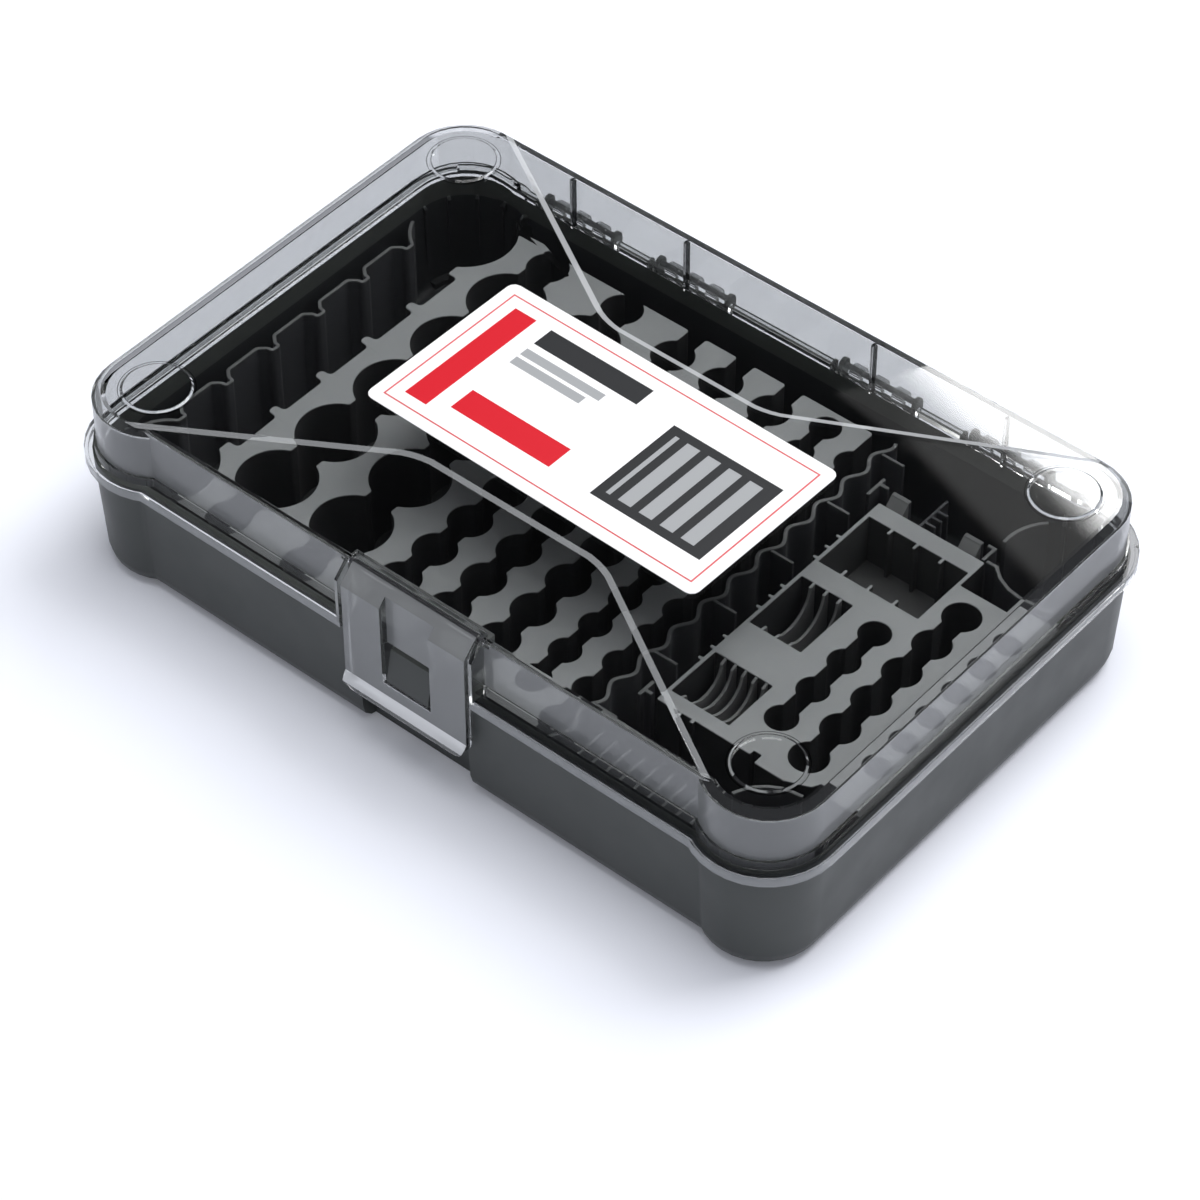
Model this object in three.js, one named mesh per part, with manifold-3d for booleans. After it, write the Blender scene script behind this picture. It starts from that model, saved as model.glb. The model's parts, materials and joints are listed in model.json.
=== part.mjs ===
// Battery organizer: a dark moulded tub with well trays for seven kinds of cell, and a clear
// hinged lid that a clear flap latch holds shut.
// Units are millimetres. X runs along the long side, the latch is at the front (-Y) and the
// hinges are at the back. The origin is on the ground under the middle of the box.

import * as THREE from "three";
import { mergeVertices } from "three/addons/utils/BufferGeometryUtils.js";
import Module from "manifold-3d";

const wasm = await Module();
wasm.setup();

// Outer sizes
const totalHeight = 70;
const flangeHalfLength = 147.5;
const flangeHalfWidth = 97.5;
const columnX = 122.7; // the corner columns, D cells and lid bosses share these centres
const columnInset = 24.8;
const columnY = flangeHalfWidth - columnInset;

// Fits shared by all pieces
const gap = 0.3; // between pieces that rest on or pass each other
const overrun = 2; // how far a cut runs past the face it opens
const bond = 0.4; // how deep joined features reach into the piece that carries them
const sliverSize = 0.004; // facets thinner than this are merged away
const leastMitreShare = 0.5; // keeps the tips of sharp mitres short

// Tub
const rimHeight = 45.2;
const tubFloor = 2;
const tubWall = 2.2;
const tubColumnRadius = 22.2;
const tubFrontInset = 5.3; // insets are measured in from the flange's outer line
const tubBackInset = 3;
const tubFrontY = flangeHalfWidth - tubFrontInset;
const tubBackY = flangeHalfWidth - tubBackInset;
const tubDraft = 1.8; // how far each wall leans in from the rim to the bottom
const tubEdgeRadius = 7;
const tubInnerEdgeRadius = 3.2;

// Finger recess and catch, in the middle of the tub's front
const recessHalfLength = 22.2;
const recessInset = 12.6;
const recessBackY = flangeHalfWidth - recessInset;
const recessWall = 1.6;
const catchHalfLength = 8.4;
const catchTopZ = 44.6;
const catchShelfZ = 31.7;
const catchNoseHeight = 1.8;
const catchTopInset = 5.3;
const catchNoseInset = 3.1;
const catchTopY = flangeHalfWidth - catchTopInset;
const catchNoseY = flangeHalfWidth - catchNoseInset;

// D cell pockets in the tub's corners
const cellDRadius = 18;
const cornerRibTip = 18.4;
const cornerRibThickness = 1.2;
const cornerRibTopZ = 38;
const cornerRibFootZ = 9; // below this the drafted wall has taken the rib in
const cornerRibChamfer = 1.6;
const cornerRibLean = 1.2;
const cornerRibLongReach = 22.4; // the last rib at the back, where the wall stands further out
const cornerRibCount = 5;
const cornerRibFirstAngle = 2;
const cornerRibStepAngle = 29.2;
const ledgeInnerRadius = 15.4;
const ledgeStepRadius = 17.2;
const ledgeOuterRadius = 18.6;
const ledgeHeight = 2.4;
const ledgeStepHeight = 1.4;

// Hinges along the back edge
const hingeCentres = [-89.5, -40.8, 36.2, 88.5];
const hingeHalfLength = 15.5;
const hingeRise = 2.3; // of the axis above the tub's rim
const lugThickness = 1.4;
const lugRadius = 2.3;
const lugRootDepth = 1.4;
const lugRootY = tubBackY - lugRootDepth;
const hingeAxisY = flangeHalfWidth - lugRadius;
const hingeAxisZ = rimHeight + hingeRise;
const lugFootZ = 38;
const hingePinRadius = 1.1;
const hingePinSeat = 0.7; // how deep each pin end sits in its lug
const clipRadius = 2.2;
const clipLength = 4.4;
const clipStep = 8.6;
const clipMouth = 1.5;
const clipArmThickness = 2;
const stopPostSize = 1.3;
const stopPostOffset = 17.3;
const stopPostRise = 3.2;
const stopPostTopZ = rimHeight + stopPostRise;

// Lid shell
const lidWall = 1.6;
const bossRise = 0.5; // the four bosses stand this far above the lid's top
const lidTopZ = totalHeight - bossRise;
const lidColumnRadius = 20.7;
const lidFrontInset = 8.5;
const lidBackInset = 5.1;
const lidFrontY = flangeHalfWidth - lidFrontInset;
const lidBackY = flangeHalfWidth - lidBackInset;
const lidBevelIn = 3;
const lidBevelDown = 1.9;
const lidEdgeBreak = 0.8;
const lidSkirtStep = 0.8; // the small ledge low on the lid's walls
const lidSkirtStepZ = 50.4;
const bossRadius = 12.3;
const bossSlope = 1.4;
const panelDepth = 0.5; // the sunk panels at the front and back of the lid's top
const panelSlope = 2;
const panelLineY = 42.7;
const panelBendRadius = 30;
const panelRunOut = 5; // how far the cut runs past the edge of the lid
// Each panel's edge runs along the middle line between two bends, then out to the lid's edge
const backPanel = { leftX: -118.3, bendLeftX: -35, bendRightX: 30, rightX: 122.7 };
const frontPanel = { leftX: -114.2, bendLeftX: -40, bendRightX: 34, rightX: 111.3 };
const finThickness = 1;
const finDepth = 2.3;
const finInset = 1;

// Lid flange, which covers the tub's rim
const flangeThickness = 1.6;
const flangeFrontInset = 2.9;
const flangeBackInset = 2.3;
const flangeBackLimitInset = 1.3;
const flangeFrontY = flangeHalfWidth - flangeFrontInset;
const flangeBackY = flangeHalfWidth - flangeBackInset;
const flangeBackLimitY = flangeHalfWidth - flangeBackLimitInset;
const lipThickness = 1.2;
const lipBottomZ = 43.4;
const lipBackLimitInset = 8.5;
const lipBackLimitY = flangeHalfWidth - lipBackLimitInset;

// Latch bay in the lid, and the ears that carry the latch pin
const bayWallInset = 11.8;
const bayWallY = flangeHalfWidth - bayWallInset;
const earHalfGap = 26.4;
const earThickness = 1.2;
const earFrontInset = 2.7;
const earShoulderDrop = 6.3;
const earFrontY = flangeHalfWidth - earFrontInset;
const earShoulderZ = totalHeight - earShoulderDrop;

// Latch flap
const latchMiddleX = 0.4;
const latchHalfLength = 24.8;
const latchThickness = 1.6;
const latchPinInset = 9.5;
const latchPinDrop = 2.4; // drops are measured down from the total height
const latchPinY = flangeHalfWidth - latchPinInset;
const latchPinZ = totalHeight - latchPinDrop;
const latchPinRadius = 0.9;
const latchPinHalfLength = 27.2;
const latchBarrelRadius = 1.9;
const latchFaceInset = 2.5;
const latchShoulderDrop = 6.8;
const latchFaceY = flangeHalfWidth - latchFaceInset;
const latchShoulderZ = totalHeight - latchShoulderDrop;
const latchBottomZ = 20.5;
const latchCornerRadius = 5;
const latchLipInset = 0.4;
const latchLipY = flangeHalfWidth - latchLipInset;
const latchLipTopZ = 26.4;
const latchLipNoseZ = 23.4;
const latchLipFootInset = 1.1;
const latchLipFootY = flangeHalfWidth - latchLipFootInset;
const latchSideReturn = 0.8;
const latchSideThickness = 1.5;
const pocketLeftX = 9.2; // the sunk tongue and the window below it
const pocketRightX = 10.5;
const pocketDepth = 3;
const pocketWall = 1.4;
const tongueBottomZ = 46.6;
const windowBottomZ = 31.1;

// Trays
const deckZ = 37.5;
const deckThickness = 1.8;
const trayWall = 1.2;
const trayFootZ = tubFloor + gap;
const wellFloorZ = trayFootZ + trayWall;
const deckInset = 14.6;
const deckHalfWidth = flangeHalfWidth - deckInset;

// Main deck, for C, AA and AAA cells, with the right side of the 9 V pockets. It is moulded as four
// trays that meet along the middle of the first C row and of the first and last AA rows.
const mainLeftX = -113.2;
const mainRightX = 42.7;
const cellCRadius = 13.45;
const cellCNeck = 10.9;
const cellCPitch = 27.7;
const cellCColumns = { first: -89.6, second: -57.5 };
const endWellInset = 6.4;
const endWellY = deckHalfWidth - endWellInset;
const cellAARadius = 7.4;
const cellAANeck = 7.2;
const cellAAPitch = 16.68;
const cellAAFirstX = -30.2;
const cellAAColumnPitch = 20.3;
const cellAAColumnCount = 3;
const cellAAFirstInset = 12.8;
const cellAAFirstY = deckHalfWidth - cellAAFirstInset;
const cellAAARadius = 5.4;
const cellAAANeck = 5.5;
const cellAAAPitch = 14.3;
const cellAAAFirstX = 29.2;
const cellAAASecondX = 45.2;
const cellAAAFirstInset = 7.7;
const cellAAASecondInset = 15.3;
const cellAAAFirstY = deckHalfWidth - cellAAAFirstInset;
const cellAAASecondY = deckHalfWidth - cellAAASecondInset;
const mainFloorRightX = 47.3;

// 9 V pockets, between a scalloped rack on the left and the tray for C cells
const cellArcRadius = 18.9;
const blockPitch = 21.9;
const blockPocketX = -109.1;
const blockHalfLength = 9.1;
const blockCorner = 2.2;
const rackFlatX = -136.6;
const rackCuspX = -132;
const rackShoulderX = -133.8;
const rackCuspHalfLength = 9.3;
const rackFlatHalfLength = 6.8;
const rackThickness = 1.2;
const rackArcStart = 240;
const rackArcEnd = 203;
const rackEndX = -140.3;
const rackNotchLength = 1.6; // clears the rounded edge of the tub's floor
const rackNotchTopZ = 5.4;

// Scalloped divider right of the tray for AAA cells
const dividerX = 50;
const dividerSwing = 1.6;
const dividerThickness = 1.3;
const dividerReach = 1.1;
const dividerHalfLength = deckHalfWidth + dividerReach;
const dividerFinInset = 5.4;
const dividerFinFirstY = deckHalfWidth - dividerFinInset;
const dividerFinPitch = 28.4;
const dividerFinTipX = 59.2;
const dividerFinThickness = 1;

// Side tray, for a deep box, coin cells and two rows of small round cells
const sideLeftX = 63.5;
const sideStepX = 104.9;
const sideRightX = 123.2;
const sideBackInset = 13.7; // this and the next two are measured in from the D cells' centres
const sideShoulderInset = 26.5;
const sideFrontInset = 21.8;
const sideBackY = columnY - sideBackInset;
const sideShoulderY = columnY - sideShoulderInset;
const sideFrontY = sideFrontInset - columnY;
const sideFrontStepX = 99.3;
const sideNotchLength = 3.1;
const sideNotchDepth = 1.9;
const sideFrontRightY = sideFrontY - sideNotchDepth;
const sideSecondNotchX = 113.5;
const sideCornerLength = 7;
const sideToothLength = 1.5;
const sideToothThickness = 1.1;
const sideToothPitch = 5.9;
const sideToothGroupPitch = 28.3;
const sideToothCount = 3;
const sideToothFirstInset = 20;
const sideToothFirstY = sideBackY - sideToothFirstInset;
const frontPostFirstX = 72.8;
const frontPostPitch = 4.9;
const frontPostSize = 1.2;
const frontPostCount = 2;
const deepBoxRightX = 103.6;
const deepBoxBackInset = 6.8;
const deepBoxWidth = 26;
const deepBoxBackY = sideBackY - deepBoxBackInset;
const deepBoxFrontY = deepBoxBackY - deepBoxWidth;
const deepBoxFloorZ = 18;
const deepBoxRibFirstX = 74;
const deepBoxRibPitch = 10;
const deepBoxRibLength = 2.5;
const deepBoxRibThickness = 1;
const deepBoxRibCount = 3;
const pocketStripX = 64.75;
const coinFloorZ = 14;
const coinRibThickness = 1;
const coinTabLength = 2.2;
const largeRackInset = 8.3;
const largeRackWidth = 26;
const largeCoinRack = {
  rightX: 84.9,
  backY: deepBoxFrontY - largeRackInset,
  frontY: deepBoxFrontY - largeRackInset - largeRackWidth,
  firstX: 69.7,
  pitch: 5.3,
  count: 3,
  dip: 11,
};
const smallRackInset = 5.2;
const smallRackWidth = 21.1;
const smallCoinRack = {
  rightX: 87.2,
  backY: sideFrontY + smallRackInset + smallRackWidth,
  frontY: sideFrontY + smallRackInset,
  firstX: 68.8,
  pitch: 4.03,
  count: 5,
  dip: 9,
};
const slimRowInset = 13.5;
const slimRow = { x: 97.3, firstY: deepBoxFrontY - slimRowInset, pitch: 15.27, radius: 5.4, neck: 6 };
const stoutRowInset = 10.7;
const stoutRow = { x: 113.5, firstY: sideShoulderY - stoutRowInset, pitch: 15.18, radius: 6.4, neck: 7.2 };

// Narrow strip along the right wall, for the slimmest cells
const stripLeftX = sideRightX + gap * 2;
const stripRightX = 141.4;
const stripFootX = 140.4;
const stripFootChamfer = 2;
const stripBackReach = 4.8;
const stripFrontInset = 1.9;
const stripBackY = sideShoulderY + stripBackReach;
const stripFrontY = sideFrontY + stripFrontInset;
const stripWellX = 130.2;
const stripWellRadius = 4.3;
const stripWellInset = 15.5;
const stripWellFirstY = stripBackY - stripWellInset;
const stripWellPitch = 13.1;
const stripNotchLength = 4;
const stripNotchDepth = 4.5;

// Thin walls round the two right-hand D cells
const arcWallThickness = 1.2;
const backArcAngles = { first: 134, gapStart: 187, gapEnd: 222, last: 300 };
const frontArcAngles = { first: 93, last: 160, footLast: 222 };
const leftFootAngles = { first: -50, last: 25 };
const hookLength = 3.7;
const arcFootInner = 16;

// Tester cradle behind the side tray
const cradleLeftX = 57.6;
const cradleRightX = 104.2;
const cradleFootX = 102.6;
const cradleGap = 0.7;
const cradleDepth = 16.9; // this and the other depths are measured back from the cradle's front
const cradleFrontY = sideBackY + cradleGap;
const cradleBackY = cradleFrontY + cradleDepth;
const cradleWall = 1.2;
const guideDepth = 9.1;
const guideLegDepth = 6.3;
const guideBackY = cradleFrontY + guideDepth;
const guideLegY = cradleFrontY + guideLegDepth;
const guideLegLength = 3.6;
const rightGuideLegLength = 2;
const clipPostLeftX = 64.1;
const clipPostRightX = 92.5;
const clipPostLength = 6.8;
const clipPostDepth = 6.5;
const clipPostBackY = cradleFrontY + clipPostDepth;
const clipPostThickness = 1.6;
const clipPostNoseZ = 32;
const clipPostNoseHeight = 1.2;
const combX = 77.5;
const combThickness = 1;
const combToothEndX = 81.8;
const combToothDepth = 11.3;
const combToothFirstY = cradleFrontY + combToothDepth;
const combToothPitch = 3.27;
const combToothCount = 4;
const combTopZ = 34;

// Slot rack along the front wall, with the guide beside the side tray
const slotLeftX = 57;
const slotRightX = 103.4;
const slotDepth = 11.9;
const slotFrontY = -deckHalfWidth;
const slotBackY = slotFrontY + slotDepth;
const slotLinkX = 60;
const slotPitch = 5.4;
const slotCount = 9;
const slotRibThickness = 1;
const frontGuideLeftX = 57.6;
const frontGuideReach = 4.9; // behind the side tray's front edge
const frontGuideDrop = 2.1; // in front of it
const frontGuideLegReach = 0.6;
const frontGuideBackY = sideFrontY + frontGuideReach;
const frontGuideFrontY = sideFrontY - frontGuideDrop;
const frontGuideLegY = sideFrontY + frontGuideLegReach;
const frontGuideLegLength = 3.6;

// Card on the lid
const cardLength = 135;
const cardWidth = 70;
const cardThickness = 0.25;
const cardCorner = 3;
const cardX = -3;
const cardY = 1;
const cardGap = 0.05;
const cardTurn = -1;

// Facets
const footSteps = 3;
const columnSides = 32;
const cellDSides = 32;
const cellCSides = 16;
const cellAASides = 10;
const cellAAASides = 8;
const smallSides = 8;
const outerSides = { 16: 10, 10: 6, 8: 6 }; // of a well's outer wall, by the sides of the well
const pinSides = 10;
const rackArcSteps = 5;
const waveSteps = 6;
const panelBendSteps = 5;
const coinArcSteps = 8;
const clipSides = 8;

const flangeTopZ = rimHeight + gap + flangeThickness;
const flangeCornerRadius = flangeHalfLength - columnX;
const degree = Math.PI / 180;

// Solids from three.js geometry

function toSolid(geometry) {
  const bare = geometry.clone();
  bare.deleteAttribute("normal");
  bare.deleteAttribute("uv");
  const merged = mergeVertices(bare);
  const corners = merged.index.array;
  const triangles = [];
  for (let i = 0; i < corners.length; i += 3) {
    const [a, b, c] = [corners[i], corners[i + 1], corners[i + 2]];
    if (a !== b && b !== c && c !== a) triangles.push(a, b, c);
  }
  return new wasm.Manifold(
    new wasm.Mesh({
      numProp: 3,
      vertProperties: new Float32Array(merged.attributes.position.array),
      triVerts: new Uint32Array(triangles),
    }),
  );
}

function toGeometry(solid) {
  const { vertProperties, triVerts } = solid.asOriginal().simplify(sliverSize).getMesh();
  const geometry = new THREE.BufferGeometry();
  geometry.setAttribute("position", new THREE.BufferAttribute(vertProperties, 3));
  geometry.setIndex(new THREE.BufferAttribute(triVerts, 1));
  geometry.computeVertexNormals();
  return geometry;
}

function join(solids) {
  return solids.reduce((whole, solid) => whole.add(solid));
}

function outline(points) {
  return new THREE.Shape(points.map(([u, v]) => new THREE.Vector2(u, v)));
}

function extrude(points, depth) {
  return new THREE.ExtrudeGeometry(outline(points), { depth, bevelEnabled: false, curveSegments: 1 });
}

function block(x0, x1, y0, y1, z0, z1) {
  const geometry = new THREE.BoxGeometry(x1 - x0, y1 - y0, z1 - z0);
  geometry.translate((x0 + x1) / 2, (y0 + y1) / 2, (z0 + z1) / 2);
  return toSolid(geometry);
}

function prism(points, z0, z1) {
  return toSolid(extrude(points, z1 - z0).translate(0, 0, z0));
}

// points are (y, z), carried from x0 to x1
function barAlongX(points, x0, x1) {
  const geometry = extrude(points, x1 - x0);
  const turn = new THREE.Matrix4().makeBasis(
    new THREE.Vector3(0, 1, 0),
    new THREE.Vector3(0, 0, 1),
    new THREE.Vector3(1, 0, 0),
  );
  return toSolid(geometry.applyMatrix4(turn).translate(x0, 0, 0));
}

// points are (x, z), carried from y0 to y1
function barAlongY(points, y0, y1) {
  const geometry = extrude(points, y1 - y0).rotateX(Math.PI / 2);
  return toSolid(geometry.translate(0, y1, 0));
}

function post(x, y, radius, z0, z1, sides, topRadius = radius) {
  const geometry = new THREE.CylinderGeometry(topRadius, radius, z1 - z0, sides);
  return toSolid(geometry.rotateX(Math.PI / 2).translate(x, y, (z0 + z1) / 2));
}

function rodAlongX(y, z, radius, x0, x1, sides) {
  const geometry = new THREE.CylinderGeometry(radius, radius, x1 - x0, sides);
  return toSolid(geometry.rotateZ(Math.PI / 2).translate((x0 + x1) / 2, y, z));
}

function arcPoints(x, y, radius, start, end, steps) {
  const points = [];
  for (let i = 0; i <= steps; i += 1) {
    const angle = (start + ((end - start) * i) / steps) * degree;
    points.push([x + radius * Math.cos(angle), y + radius * Math.sin(angle)]);
  }
  return points;
}

// A path seen from above, moved to its left by a distance, with mitred corners
function moved(path, distance) {
  return path.map(([x, y], i) => {
    const before = path[Math.max(i - 1, 0)];
    const after = path[Math.min(i + 1, path.length - 1)];
    const into = new THREE.Vector2(x - before[0], y - before[1]).normalize();
    const out = new THREE.Vector2(after[0] - x, after[1] - y).normalize();
    const along = into.clone().add(out).normalize();
    const cosine = Math.max(along.dot(i === 0 ? out : into), leastMitreShare);
    const offset = distance / cosine;
    return [x - along.y * offset, y + along.x * offset];
  });
}

function wallAlong(path, thickness, z0, z1) {
  return prism([...moved(path, thickness / 2), ...moved(path, -thickness / 2).reverse()], z0, z1);
}

// The same path with its corners rounded
function rounded(path, radius, steps) {
  const points = path.map(([x, y]) => new THREE.Vector2(x, y));
  const result = [path.at(0)];
  for (let i = 1; i + 1 < points.length; i += 1) {
    const corner = points[i];
    const into = corner.clone().sub(points[i - 1]).normalize();
    const out = points[i + 1].clone().sub(corner).normalize();
    const reach = radius * Math.tan(Math.acos(into.dot(out)) / 2);
    const start = corner.clone().addScaledVector(into, -reach);
    const end = corner.clone().addScaledVector(out, reach);
    const curve = new THREE.QuadraticBezierCurve(start, corner, end);
    for (const { x, y } of curve.getPoints(steps)) result.push([x, y]);
  }
  result.push(path.at(-1));
  return result;
}

// Case forms: four corner columns joined by straight walls, for the tub and the lid

// Profile from the middle out to half, from z0 up to z1. A rounded foot has a radius, walls lean
// in by draft towards the foot, and a bevelled head steps in and down.
function sideProfile(half, z0, z1, { foot = 0, draft = 0, bevelIn = 0, bevelDown = 0 }) {
  const points = [[0, z0]];
  if (foot > 0) {
    points.push(...arcPoints(half - draft - foot, z0 + foot, foot, -90, 0, footSteps));
  } else {
    points.push([half - draft, z0]);
  }
  if (bevelIn > 0) points.push([half, z1 - bevelDown]);
  points.push([half - bevelIn, z1]);
  points.push([0, z1]);
  return points;
}

function bothSides(right, left) {
  const mirrored = left.map(([u, v]) => [-u, v]).reverse();
  return [...right.slice(1, -1), ...mirrored.slice(1, -1)];
}

function caseForm({ column, frontY, backY, z0, z1, wallStyle, longStyle = wallStyle }) {
  const columnProfile = sideProfile(column, z0, z1, wallStyle).map(([u, v]) => new THREE.Vector2(u, v));
  const parts = [];
  for (const sx of [-1, 1]) {
    for (const sy of [-1, 1]) {
      const lathe = new THREE.LatheGeometry(columnProfile, columnSides);
      lathe.rotateX(Math.PI / 2).translate(sx * columnX, sy * columnY, 0);
      parts.push(toSolid(lathe));
    }
  }
  const endProfile = sideProfile(columnX + column, z0, z1, wallStyle);
  parts.push(barAlongY(bothSides(endProfile, endProfile), -columnY, columnY));
  const back = sideProfile(backY, z0, z1, longStyle);
  const front = sideProfile(frontY, z0, z1, longStyle);
  parts.push(barAlongX(bothSides(back, front), -columnX, columnX));
  return join(parts);
}

// Tub

function tubShell() {
  const outer = caseForm({
    column: tubColumnRadius,
    frontY: tubFrontY,
    backY: tubBackY,
    z0: 0,
    z1: rimHeight,
    wallStyle: { foot: tubEdgeRadius, draft: tubDraft },
  });
  const inner = caseForm({
    column: tubColumnRadius - tubWall,
    frontY: tubFrontY - tubWall,
    backY: tubBackY - tubWall,
    z0: tubFloor,
    z1: rimHeight + overrun,
    wallStyle: { foot: tubInnerEdgeRadius, draft: tubDraft },
  });
  const front = -tubFrontY - overrun;
  const side = recessHalfLength + recessWall;
  const half = recessHalfLength;
  const top = rimHeight + overrun;
  const recess = block(-half, half, front, -recessBackY, -overrun, top);
  const recessCase = block(-side, side, front, -recessBackY + recessWall, -overrun, top + overrun);
  return outer.subtract(recess).subtract(inner.subtract(recessCase));
}

function latchCatch() {
  const profile = [
    [-recessBackY + bond, catchShelfZ],
    [-recessBackY + bond, catchTopZ],
    [-catchTopY, catchTopZ],
    [-catchNoseY, catchShelfZ + catchNoseHeight],
    [-catchNoseY, catchShelfZ],
  ];
  const middle = latchMiddleX + (pocketRightX - pocketLeftX) / 2;
  return barAlongX(profile, middle - catchHalfLength, middle + catchHalfLength);
}

// Five upright ribs and a low ledge steady the D cell that stands in each corner
function cornerSupports(sx, sy) {
  const parts = [];
  for (let i = 0; i < cornerRibCount; i += 1) {
    const meetsBackWall = sy > 0 && i === cornerRibCount - 1;
    const reach = meetsBackWall ? cornerRibLongReach : tubColumnRadius - tubWall;
    const angle = (cornerRibFirstAngle + i * cornerRibStepAngle) * degree;
    const profile = [
      [cornerRibTip, cornerRibFootZ],
      [reach - cornerRibLean, cornerRibFootZ],
      [reach, cornerRibTopZ],
      [cornerRibTip + cornerRibChamfer, cornerRibTopZ],
      [cornerRibTip, cornerRibTopZ - cornerRibChamfer],
    ];
    const rib = extrude(profile, cornerRibThickness).rotateX(Math.PI / 2);
    rib.translate(0, cornerRibThickness / 2, 0).rotateZ(angle);
    parts.push(toSolid(rib));
  }
  const lastAngle = cornerRibFirstAngle + (cornerRibCount - 1) * cornerRibStepAngle;
  const ledgeTop = tubFloor + ledgeHeight;
  const ledge = (inner, outer, z0) =>
    ringPiece(0, 0, inner, outer, cornerRibFirstAngle, lastAngle, cornerRibCount * 2, z0, ledgeTop);
  parts.push(ledge(ledgeInnerRadius, ledgeStepRadius, tubFloor - bond));
  parts.push(ledge(ledgeStepRadius - bond, ledgeOuterRadius, tubFloor + ledgeStepHeight));
  // The supports are laid out for the corner at +X +Y and mirrored to the others
  return join(parts).scale([sx, sy, 1]).translate([sx * columnX, sy * columnY, 0]);
}

function hingeLug(x, towards) {
  const outerX = x + towards * lugThickness;
  const profile = [
    [tubBackY - tubWall + bond, lugFootZ + tubWall],
    [tubBackY - bond, lugFootZ],
    [hingeAxisY + lugRadius, hingeAxisZ - lugRadius],
    ...arcPoints(hingeAxisY, hingeAxisZ, lugRadius, 0, 180, pinSides / 2),
    [lugRootY - bond / 2, rimHeight - bond],
  ];
  const plate = barAlongX(profile, Math.min(x, outerX), Math.max(x, outerX));
  const seatEnd = x + towards * (hingePinSeat + gap);
  const from = Math.min(x - towards * overrun, seatEnd);
  const to = Math.max(x - towards * overrun, seatEnd);
  return plate.subtract(rodAlongX(hingeAxisY, hingeAxisZ, hingePinRadius + gap, from, to, pinSides));
}

function hingeSupports(centre) {
  const postX = centre - stopPostOffset;
  const postY = tubBackY - stopPostSize / 2;
  return join([
    hingeLug(centre - hingeHalfLength + lugThickness, -1),
    hingeLug(centre + hingeHalfLength - lugThickness, 1),
    block(
      postX - stopPostSize / 2,
      postX + stopPostSize / 2,
      postY - stopPostSize / 2,
      postY + stopPostSize / 2,
      rimHeight - bond,
      stopPostTopZ,
    ),
  ]);
}

function makeTub() {
  let tub = tubShell().add(latchCatch());
  for (const sx of [-1, 1]) {
    for (const sy of [-1, 1]) tub = tub.add(cornerSupports(sx, sy));
  }
  for (const centre of hingeCentres) tub = tub.add(hingeSupports(centre));
  return tub;
}

function makeHingePin(centre) {
  const half = hingeHalfLength - lugThickness + hingePinSeat;
  return rodAlongX(hingeAxisY, hingeAxisZ, hingePinRadius, centre - half, centre + half, pinSides);
}

// Trays

// A round well whose facets touch the true circle, so that a cell of that size still fits
function well(x, y, radius, z0, z1, sides) {
  return post(x, y, radius / Math.cos(Math.PI / sides), z0, z1, sides);
}

// A row of round wells joined by a straight neck
function wellRow({ x, firstY, pitch, count, radius, neck, sides, grow = 0, z0, z1 }) {
  const parts = [];
  const facets = grow > 0 ? outerSides[sides] : sides;
  for (let i = 0; i < count; i += 1) {
    parts.push(well(x, firstY - i * pitch, radius + grow, z0, z1, facets));
  }
  const half = neck / 2 + grow;
  parts.push(block(x - half, x + half, firstY - (count - 1) * pitch, firstY, z0, z1));
  return join(parts);
}

// How many wells of a row fit between its first well and the front of what it is cut in
function wellCount(firstY, pitch, margin, frontY = -deckHalfWidth) {
  return Math.floor((firstY - frontY - margin) / pitch) + 1;
}

function cellCRow(x) {
  const perSide = Math.floor((endWellY - cellAARadius - cellCRadius) / cellCPitch);
  return {
    x,
    firstY: cellCPitch * perSide,
    pitch: cellCPitch,
    count: perSide * 2 + 1,
    radius: cellCRadius,
    neck: cellCNeck,
    sides: cellCSides,
    runOut: true,
    ends: true,
  };
}

function cellAARow(x) {
  return {
    x,
    firstY: cellAAFirstY,
    pitch: cellAAPitch,
    count: wellCount(cellAAFirstY, cellAAPitch, cellAARadius),
    radius: cellAARadius,
    neck: cellAANeck,
    sides: cellAASides,
    runOut: true,
  };
}

function cellAAARow(x, firstY) {
  return {
    x,
    firstY,
    pitch: cellAAAPitch,
    count: wellCount(firstY, cellAAAPitch, cellAAARadius),
    radius: cellAAARadius,
    neck: cellAAANeck,
    sides: cellAAASides,
  };
}

// The row's space, or its outer wall when grown, with its end wells and open ends
function rowForm(row, grow, z0, z1, endY) {
  const parts = [wellRow({ ...row, grow, z0, z1 })];
  const half = row.neck / 2 + grow;
  if (row.runOut) parts.push(block(row.x - half, row.x + half, -endY, endY, z0, z1));
  if (row.ends) {
    for (const y of [-endWellY, endWellY]) {
      const sides = grow > 0 ? outerSides[cellAASides] : cellAASides;
      parts.push(well(row.x, y, cellAARadius + grow, z0, z1, sides));
    }
  }
  return join(parts);
}

// The middles of the 9 V pockets, from back to front
function blockMiddles() {
  const perSide = Math.floor((columnY - cellArcRadius - blockHalfLength) / blockPitch);
  const middles = [];
  for (let i = perSide; i >= -perSide; i -= 1) middles.push(i * blockPitch);
  return middles;
}

function blockPockets(grow, z0, z1) {
  const parts = [];
  for (const middle of blockMiddles()) {
    const half = blockHalfLength + grow;
    const right = blockPocketX + grow;
    const left = mainLeftX - overrun;
    const points = [
      [left, middle - half],
      [right - blockCorner, middle - half],
      [right, middle - half + blockCorner],
      [right, middle + half - blockCorner],
      [right - blockCorner, middle + half],
      [left, middle + half],
    ];
    parts.push(prism(points, z0, z1));
  }
  return join(parts);
}

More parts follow.
